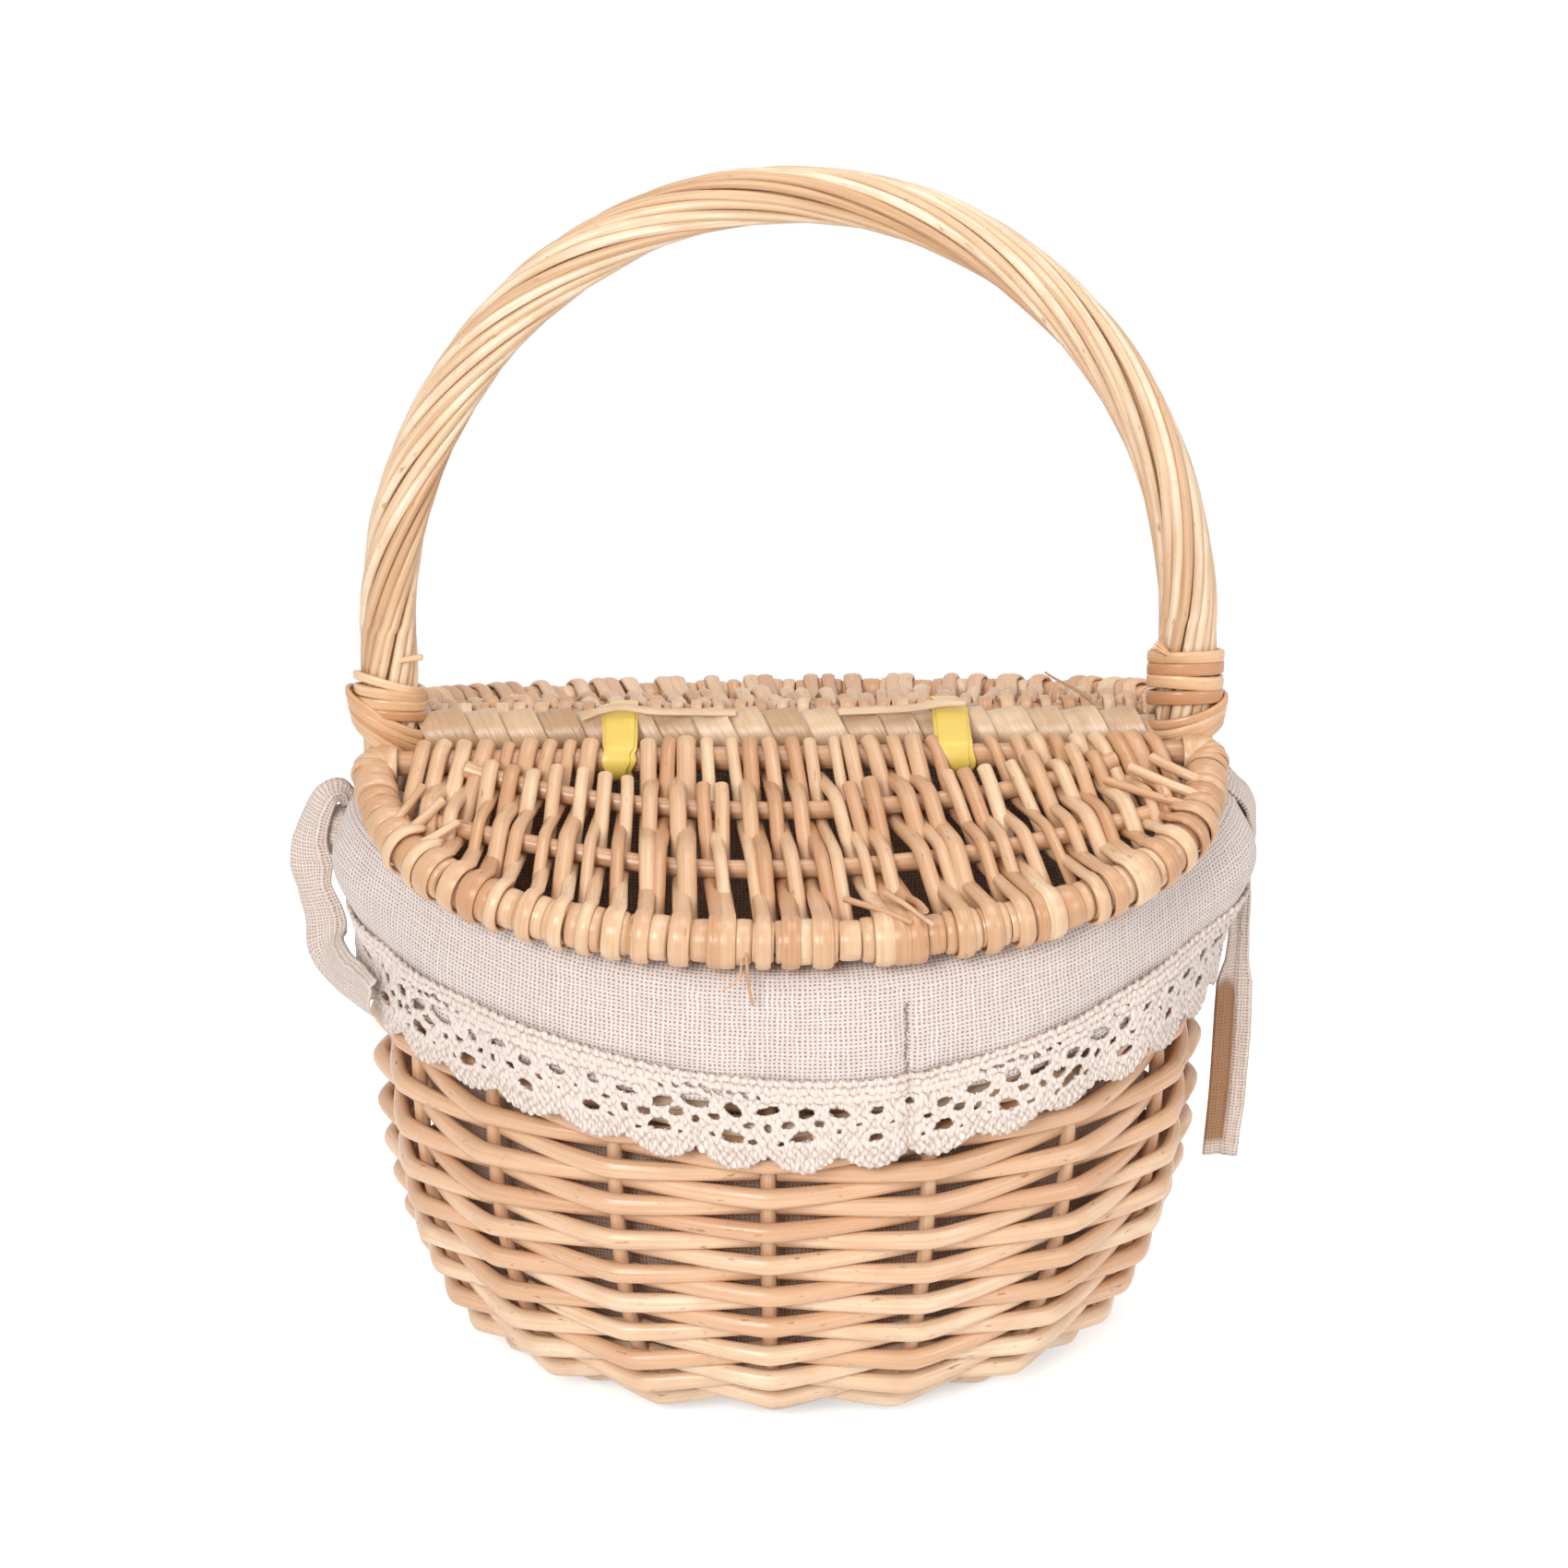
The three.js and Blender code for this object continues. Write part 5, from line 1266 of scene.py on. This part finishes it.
def cuff_point(angle, drop, out=0.0):
    """A point of the cuff at a drop below the rim's middle, in millimetres."""
    angle, drop = np.broadcast_arrays(np.asarray(angle, float), np.asarray(drop, float))
    middle = rim_point(angle.ravel())[:, 2].reshape(angle.shape)
    share = share_at_height(middle - drop, angle)
    low = np.clip(drop / SETTLE, 0, 1)
    low = low * low * (3 - 2 * low)
    hang = CLOTH_OFF + 0.5 + RIPPLE * ripple(angle, drop, 3)
    beside = (angle - SEAM_ANGLE) * RIM_A
    folds = 1 + 0.6 * np.sin(drop / 1.5 + 0.9 * np.sign(beside))
    pucker = PUCKER * np.exp(-(beside / PUCKER_WIDE) ** 2) * folds
    drawn_in = SEAM_DEEP * np.exp(-(beside / SEAM_WIDE) ** 2)
    seam = (pucker * low - drawn_in) * np.clip(drop / SEAM_FADE, 0, 1)
    away = (FOLD_R + 0.5) * (1 - low) + hang * low + cuff_swell(angle, drop) + seam + out
    points = off_wall(share, angle, away)
    points[..., 2] = middle - drop
    return points


print("cuff", CUFF_DROP, "mm deep, its seam at", round(math.degrees(SEAM_ANGLE), 1), "degrees")

# %% Liner
FLOOR_ROWS, SIDE_ROWS, FOLD_ROWS, CUFF_ROWS = 6, 22, 13, 24
FLOOR_SHARE, FLOOR_SIZE = 0.24, 0.9  # the floor's edge is a ring of the wall at this share, drawn in
SLIT, SLIT_FLOOR = 8.4, 150.0
LINEN_THICK = 0.8

rows = []
edge = off_wall(np.full(COLUMNS, FLOOR_SHARE), theta, np.full(COLUMNS, -CLOTH_OFF))
for part in np.linspace(0.1, 1.0, FLOOR_ROWS):
    rows.append(edge * np.array([FLOOR_SIZE * part, FLOOR_SIZE * part, 0]) + np.array([0, 0, BAG_FLOOR]))
for share in np.linspace(0.26, 1.0, SIDE_ROWS):
    slack = -CLOTH_OFF - 0.6 - 0.5 * ripple(theta, share * 60, 9)
    rows.append(off_wall(np.full(COLUMNS, share), theta, slack))
bag_rows = len(rows)
centre = rim_point(theta)
outward = unit(np.stack([np.sin(theta) * RIM_B, -np.cos(theta) * RIM_A, 0 * theta], 1))
for lean in np.linspace(np.pi, 0.0, FOLD_ROWS):
    swell = (cuff_swell(theta, 0.0) + 0.5) * max(0.0, math.cos(lean)) ** 2
    rows.append(centre + outward * ((FOLD_R * math.cos(lean) + swell)[:, None])
                + np.array([0, 0, FOLD_R * math.sin(lean)]))
for drop in np.linspace(1.5, CUFF_DROP, CUFF_ROWS):
    rows.append(cuff_point(theta, np.full(COLUMNS, drop)))
grid = np.array(rows)
step_down = np.linalg.norm(np.diff(grid, axis=0), axis=2).mean(1)
notes = np.zeros(grid.shape)
notes[..., 0] = (theta * 0.5 * (RIM_A + RIM_B))[None]
notes[..., 1] = np.concatenate([[0], np.cumsum(step_down)])[:, None]
# The bag inside the wall is painted darker, as painted shade
notes[:bag_rows, :, 2] = 1.0


def at_leg(points):
    x, y, z = np.abs(points).T
    return (np.abs(x - RIM_A) < SLIT) & (y < SLIT) & (z > SLIT_FLOOR)


liner = make_sheet("liner", grid, LINEN, LINEN_THICK, notes, closed=True, drop_face=at_leg)


# %% Seam
def thread(name, hex_colour):
    """Twisted linen thread: matt, and painted darker than the cloth, as painted shade, because it lies in a
    crease.
    """
    material, tree = new_material(name)
    shader = add_node(tree, "ShaderNodeBsdfPrincipled", {
        "Base Color": linear(hex_colour), "Roughness": 0.85})
    add_node(tree, "ShaderNodeOutputMaterial", {"Surface": shader})
    return material


# The seam that closes the cuff: short stitches, one below the other
STITCH, STITCH_PITCH, STITCH_R, STITCH_OUT = 1.0, 1.3, 0.3, 0.75
runs = []
for drop in np.arange(3.0, 21.0, STITCH_PITCH):
    angles = np.full(3, SEAM_ANGLE) + dice.uniform(-0.003, 0.003)
    ends = cuff_point(angles, drop + STITCH * np.array([0, 0.5, 1.0]), STITCH_OUT)
    runs.append(sweep(ends, round_section(6) * STITCH_R))
# The thread's dark colour holds the painted shade of the crease
make_piece("cuff_seam", runs, thread("twisted_linen_thread", "#917d6d"), "basket")

# %% [markdown]
# ## The lace edge
# A cotton lace about 25 mm deep is sewn over the cuff's hem. Its pattern repeats every scallop: a braided
# top edge, a row of slits, a row of larger holes, a lens-shaped hole and a fan of stitches that makes the
# scallop. The pattern is written as a distance to the nearest edge, positive on the thread. A fine grid
# is kept where it is positive, and the grid's points beside an edge are drawn onto it, so that the holes
# are truly open and have smooth outlines. A cut-out picture could stand for it, but only open holes show the
# cloth behind them from every side.

# %% Lace pattern
SCALLOPS, LACE_DEEP, VALLEY_DEEP, LACE_THICK = 36, 25.0, 20.4, 1.1
CELLS, LACE_ROWS = 40, 56


def lace_top(angle):
    """Drop of the lace's upper edge, which was sewn on by hand and rises and falls a little."""
    return 19.6 + 2.0 * np.cos(4 * angle - 0.3)


CUFF_OUT = 9.0  # the hem hangs about this far outside the rim's middle
lace_ring = rim_point(theta)
ring_steps = np.linalg.norm(np.diff(np.concatenate([lace_ring, lace_ring[:1]]), axis=0), axis=1)
PITCH = float(ring_steps.sum() * (RIM_A + CUFF_OUT) / RIM_A / SCALLOPS)


def oval(x, y, at, half):
    return (np.hypot((x - at[0]) / half[0], (y - at[1]) / half[1]) - 1) * min(half)


def unsteady(s, d):
    """Hand-worked stitches are never quite in line: small shifts along and down, in millimetres."""
    along = 0.55 * np.sin(s / 5.3 + 0.4 * d) + 0.35 * np.sin(s / 2.1 - 0.5 * d + 1.3)
    down = 0.45 * np.sin(s / 4.1 + 0.7) + 0.30 * np.sin(s / 1.9 + 0.35 * d)
    return s + along * (0.5 + np.sin(s / 31)), d + 1.25 * down


def lace_holes(s, d):
    """Distance to the nearest hole, for s along from a scallop's middle and d down from the top edge."""
    s, d = unsteady(s, d)
    x = (s + PITCH / 2) % PITCH - PITCH / 2
    valley = (s % PITCH) - PITCH / 2
    slit = PITCH / 5
    row = (s + slit / 2) % slit - slit / 2
    # Middle and half size of each hole, in millimetres from the scallop's middle or valley and the top edge
    holes = [oval(row, d - 0.35 * row, (0, 4.2), (1.15, 0.5)),
             oval(x, d, (0.4, 8.6), (2.4, 1.75)),
             oval(valley, d, (0, 8.0), (3.3, 1.5)),
             oval(np.abs(x), d, (4.0, 11.7), (1.7, 1.15)),
             oval(x, d - 0.05 * x * x, (0, 15.4), (3.0, 1.8)),
             oval(valley, d, (0, 12.8), (1.1, 1.2)),
             oval(np.abs(x), d, (5.2, 16.6), (0.9, 0.7))]
    # Some holes were drawn tighter than others
    tight = 0.15 + 0.30 * np.sin(s / 13.7 + 1.0) + 0.20 * np.sin(s / 6.1 + 0.3 * d)
    return np.min(holes, axis=0) + tight


def lace_field(s, d):
    """Distance to the nearest edge of the lace, positive on the thread."""
    x = (s + PITCH / 2) % PITCH - PITCH / 2
    bow = 1 - np.abs(2 * x / PITCH) ** 1.7
    bow = bow * (0.82 + 0.18 * np.sin(s / 21.0 + 0.6))
    edge = VALLEY_DEEP + (LACE_DEEP - VALLEY_DEEP) * bow + 0.3 * np.sin(2 * np.pi * s / 2.3)
    top = d + 0.2 + 0.3 * np.sin(2 * np.pi * s / 2.9)
    return np.minimum(np.minimum(lace_holes(s, d), 0.8 * (edge - d)), top)


def lace_relief(s, d):
    """Height of the yarn: chains along the top, cords round the holes and crossed stitches."""
    chains = np.where(d < 6.5, 0.26 * np.sin(2 * np.pi * d / 2.15 + 0.5 * np.sin(s / 1.1)), 0)
    cord = 0.34 * np.exp(-((lace_holes(s, d) - 0.45) / 0.5) ** 2)
    s, d = unsteady(s, d)
    leaning = np.sin(2 * np.pi * (s + 0.7 * d) / 2.4) + np.sin(2 * np.pi * (0.8 * d - s) / 2.1)
    return cord + chains + 0.13 * leaning


print(SCALLOPS, "scallops of", round(PITCH, 1), "mm")

# %% Lace grid
# Points this near to an edge, as a share of a cell, are drawn onto it. None is moved beyond the limit.
NEAR, MOVE_LIMIT = 0.68, 0.4
count = SCALLOPS * CELLS
s, d = np.meshgrid(np.arange(count) * PITCH / CELLS, np.linspace(-0.3, LACE_DEEP + 0.6, LACE_ROWS + 1))
step = 0.01
value = lace_field(s, d)
slope_s = (lace_field(s + step, d) - lace_field(s - step, d)) / (2 * step)
slope_d = (lace_field(s, d + step) - lace_field(s, d - step)) / (2 * step)
steep = np.maximum(slope_s ** 2 + slope_d ** 2, 0.05)
close = np.abs(value) < NEAR * PITCH / CELLS
s = np.where(close, s - np.clip(value / steep * slope_s, -MOVE_LIMIT, MOVE_LIMIT), s)
d = np.where(close, d - np.clip(value / steep * slope_d, -MOVE_LIMIT, MOVE_LIMIT), d)
kept = np.where(close, 0.0, value) >= -0.01

# The cuff's surface at a coarse grid of angles and drops, read off between its points
AROUND, HEM_ROW = 361, 12
fine = np.linspace(-np.pi / 2, 1.5 * np.pi, AROUND)
drops = np.linspace(16, 50, 30)
angle_grid, drop_grid = np.meshgrid(fine, drops)
hang = cuff_point(angle_grid, drop_grid, 0.9)
facing = unit(np.cross(np.gradient(hang, axis=0), np.gradient(hang, axis=1)))
hem_run = run_along(hang[HEM_ROW])
hem_share = hem_run / hem_run[-1]


def on_cuff(table, share, drop):
    """Reads a table of the cuff at a share of the way round and a drop."""
    column = np.interp(share % 1.0, hem_share, np.arange(AROUND))
    row = np.clip((drop - drops[0]) / (drops[1] - drops[0]), 0, len(drops) - 1.001)
    c0, r0 = np.minimum(column.astype(int), AROUND - 2), row.astype(int)
    fc, fr = (column - c0)[..., None], (row - r0)[..., None]
    upper = table[r0, c0] * (1 - fc) + table[r0, c0 + 1] * fc
    lower = table[r0 + 1, c0] * (1 - fc) + table[r0 + 1, c0 + 1] * fc
    return upper * (1 - fr) + lower * fr


share = s / (SCALLOPS * PITCH)
drop = lace_top(np.interp(share % 1.0, hem_share, fine)) + d
relief = lace_relief(s, d)
lift = relief + 0.3 + 0.4 * ripple(share * 2 * np.pi, d, 21)
points = on_cuff(hang, share, drop) + on_cuff(facing, share, drop) * lift[..., None]
notes = np.stack([s, d, relief], -1)
print(int(kept.sum()), "of", kept.size, "grid points lie on the thread")

# %% Lace
def cotton(name, highlight_hex, crease_shade_hex):
    """Crocheted cotton yarn: matt and soft, with painted highlight on its raised loops and painted shade in
    the creases.
    """
    material, tree = new_material(name)
    place = add_node(tree, "ShaderNodeAttribute", attribute_name="cloth").outputs["Vector"]
    height = add_node(tree, "ShaderNodeSeparateXYZ", {0: place}).outputs["Z"]
    flat = add_node(tree, "ShaderNodeVectorMath", {0: place, 1: (1, 1, 0)}, operation="MULTIPLY")
    # Loops of yarn about 1 mm across and 3 mm long, with painted shade in the creases between them
    turned = add_node(tree, "ShaderNodeMapping", {
        "Vector": flat, "Rotation": (0, 0, 0.5), "Scale": (0.9, 0.36, 1)})
    crease = add_node(tree, "ShaderNodeTexVoronoi", {"Vector": turned, "Scale": 1.0},
                      feature="DISTANCE_TO_EDGE")
    loops = add_node(tree, "ShaderNodeMapRange", {"Value": crease.outputs["Distance"], "From Max": 0.22})
    # Raised yarn is painted lighter and sunken yarn darker: painted highlight and painted shade
    lifted = add_node(tree, "ShaderNodeMapRange", {
        "Value": height, "From Min": -0.4, "From Max": 0.4, "To Max": 0.65})
    yarn = add_node(tree, "ShaderNodeMath", {0: loops, 1: 0.30, 2: lifted}, operation="MULTIPLY_ADD")
    colour = add_node(tree, "ShaderNodeValToRGB", {"Fac": yarn}, [(0.12, crease_shade_hex), (0.62, highlight_hex)])
    bump = add_node(tree, "ShaderNodeBump", {"Height": loops, "Strength": 0.5, "Distance": 0.5 * MM})
    shader = add_node(tree, "ShaderNodeBsdfPrincipled", {
        "Base Color": colour, "Roughness": 0.9, "Normal": bump, "Specular IOR Level": 0.2,
        "Sheen Weight": 0.3, "Sheen Roughness": 0.5})
    add_node(tree, "ShaderNodeOutputMaterial", {"Surface": shader})
    return material


# The second colour is the painted shade of the creases
COTTON = cotton("crocheted_cotton_yarn", "#e5d6cc", "#a88b7a")
quads = grid_faces(LACE_ROWS + 1, count, closed=True)
quads = quads[kept.ravel()[quads].all(1)]
used, quads = np.unique(quads, return_inverse=True)
mesh = cloth_mesh("lace_trim", points.reshape(-1, 3)[used], quads.reshape(-1, 4), notes.reshape(-1, 3)[used])
lace = place_piece("lace_trim", mesh, COTTON, "basket", ["lace_trim"], LACE_THICK)

# %% [markdown]
# ## Ribbon ties
# At each foot of the handle the liner is tied with a ribbon of its own cloth. On the left a loop comes
# over the knot, is pinched below it and lies with its loose end on the lace. On the right a soft wing
# hides the knot and a folded tail hangs down. A ribbon is a grid of points across a path, turned to face
# the way it does in the picture. A simulation could tie it, but a path of a few points gives the same fold
# every time.

# %% Ribbons
# The last colour is the painted shade inside the tail's fold
RIBBON_LINEN = linen("coarse_linen_ribbon", RIBBON_THREAD, "#e2d5ce", "#cbb7aa", "#86694f", "#a67d5c")
RIBBON_ROWS, RIBBON_COLUMNS, RIBBON_THICK = 72, 25, 0.9
TURN_ROWS = 5  # a sharp turn is made over this many rows to each side, as cloth does


def ribbon(name, spots, faces, flat_width, curl, hems=(), painted_shade=None):
    """A ribbon through spots of (x, y, z, width).

    Faces are the ways its front looks, curl bows it, hems are rolled edges at places across it, and the last
    argument is the part across and along it that is painted in shade, as the open inside of a fold.
    """
    spots = np.array(spots, float)
    path = smooth_path(spots[:, :3], RIBBON_ROWS)
    run = run_along(path)
    nearest = [run[np.argmin(np.linalg.norm(path - spot, axis=1))] for spot in spots[:, :3]]
    width = np.interp(run, nearest, spots[:, 3])
    part = run / run[-1]
    front = unit(np.stack([np.interp(part, np.linspace(0, 1, len(faces)), np.array(faces, float)[:, k])
                           for k in range(3)], 1))
    way = unit(np.gradient(path, axis=0))
    side = unit(np.cross(way, front))
    padded = np.concatenate([side[:1].repeat(TURN_ROWS, 0), side, side[-1:].repeat(TURN_ROWS, 0)])
    even_share = np.full(2 * TURN_ROWS + 1, 1 / (2 * TURN_ROWS + 1))
    side = unit(np.stack([np.convolve(padded[:, k], even_share, "valid") for k in range(3)], 1))
    front = np.cross(side, way)
    across = np.linspace(-0.5, 0.5, RIBBON_COLUMNS)
    bow = curl * (1 - 4 * across ** 2)
    for place in hems:
        bow = bow + 0.9 * np.exp(-((across - place) / 0.07) ** 2)
    uneven = np.stack([wander(RIBBON_ROWS, 9, 0.25, 60 + k) for k in range(5)], 1)
    uneven = np.stack([np.interp(across, np.linspace(-0.5, 0.5, 5), line) for line in uneven])
    grid = (path[:, None] + side[:, None] * (across[None, :, None] * width[:, None, None])
            + front[:, None] * (bow[None] + uneven)[..., None])
    notes = np.zeros(grid.shape)
    notes[..., 0] = across[None] * flat_width
    notes[..., 1] = run[:, None]
    if painted_shade:
        # The painted shade of the fold's opening is round at its top, and its edges are soft
        first, last, begin, end = painted_shade
        inside = 1 - np.abs((across - 0.5 * (first + last)) / (0.5 * (last - first)))
        start = begin + 0.05 * (1 - np.clip(inside, 0, 1)) ** 2
        upper = np.clip((part[:, None] - start[None]) / 0.03, 0, 1)
        lower = np.clip((end - part) / 0.02, 0, 1)[:, None]
        notes[..., 2] = np.clip(4 * inside, 0, 1)[None] * upper * lower
    piece = make_sheet(name, grid, RIBBON_LINEN, RIBBON_THICK, notes)


print(RIBBON_LINEN.name)

# %% Knots
def knot(name):
    """A pulled knot: a rounded lump with the pleats of the gathered ribbon running into its middle."""
    low, high = (np.array(corner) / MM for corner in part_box(name))
    middle, half = 0.5 * (low + high), 0.5 * (high - low)
    rows, columns = 28, 48
    lat = np.linspace(0.04, np.pi - 0.04, rows)[:, None]
    lon = np.linspace(0, 2 * np.pi, columns, endpoint=False)[None]
    waist = 1.03 - 0.17 * np.exp(-((lat - 1.15) / 0.2) ** 2) - 0.15 * np.exp(-((lat - 2.0) / 0.2) ** 2)
    size = waist * (1 + 0.07 * np.cos(7 * lon + 3 * np.cos(lat)) * np.sin(lat))
    grid = np.stack([np.sin(lat) * np.cos(lon) * half[0], np.sin(lat) * np.sin(lon) * half[1],
                     np.cos(lat) * half[2] * np.ones_like(lon)], -1) * size[..., None] + middle
    notes = np.stack(np.broadcast_arrays(lon * half[1], lat * half[2], 0 * lon), -1)
    piece = make_sheet(name, grid, RIBBON_LINEN, LINEN_THICK, notes, closed=True)


knot("ribbon_knot_left")
knot("ribbon_knot_right")

# %% Loops and tail
ribbon("ribbon_loop_left",
       [(-115.5, 0, 154.5, 5.0), (-118.0, -1, 157.6, 6.5), (-121.9, -3, 155.5, 8.3), (-125.6, -5, 146, 9.6),
        (-125.5, -6, 139.2, 12.2), (-124.8, -7, 133.0, 9.4), (-122.3, -8, 125, 11.8),
        (-121.8, -10, 118.5, 13.6), (-120.0, -15, 115.8, 13.2), (-116.8, -22, 114.8, 12.6),
        (-112.6, -30, 114.6, 11.8), (-108.6, -38, 114.2, 10.2)],
       [(-0.4, -0.5, 0.8), (-0.5, -0.8, 0.3), (-0.35, -0.93, 0.1), (-0.4, -0.9, 0), (-0.6, -0.8, 0.1),
        (-0.8, -0.6, 0.1)],
       12.0, curl=1.6, hems=(-0.30,))
ribbon("ribbon_loop_right",
       [(110.0, 1, 155.5, 12), (113.5, 0, 158.0, 14), (117.6, -1, 155.6, 17), (121.6, -1, 150.0, 17),
        (122.6, -1, 143.0, 14), (120.0, -1, 134.0, 8)],
       [(0.2, 0, 1), (0.6, -0.1, 0.8), (1, -0.15, 0.2), (1, -0.2, 0)], 17.0, curl=1.2)
# The tail is a folded tube, and its open inside is painted in shade
ribbon("ribbon_tail_right",
       [(119.6, 0, 139.2, 5.4), (120.4, -1, 128, 5.2), (120.4, -2, 115, 5.4), (119.9, -3, 106, 6.6),
        (119.3, -3.5, 100, 9.7), (119.1, -4, 85, 10.0), (118.4, -4, 68, 9.7), (117.0, -4, 48.5, 9.2)],
       [(0.35, -0.9, 0), (0.3, -0.95, 0), (0.1, -1, 0), (0.1, -1, 0)], 10.5,
       curl=-1.0, hems=(-0.14, -0.27, -0.40), painted_shade=(-0.14, 0.66, 0.41, 0.965))
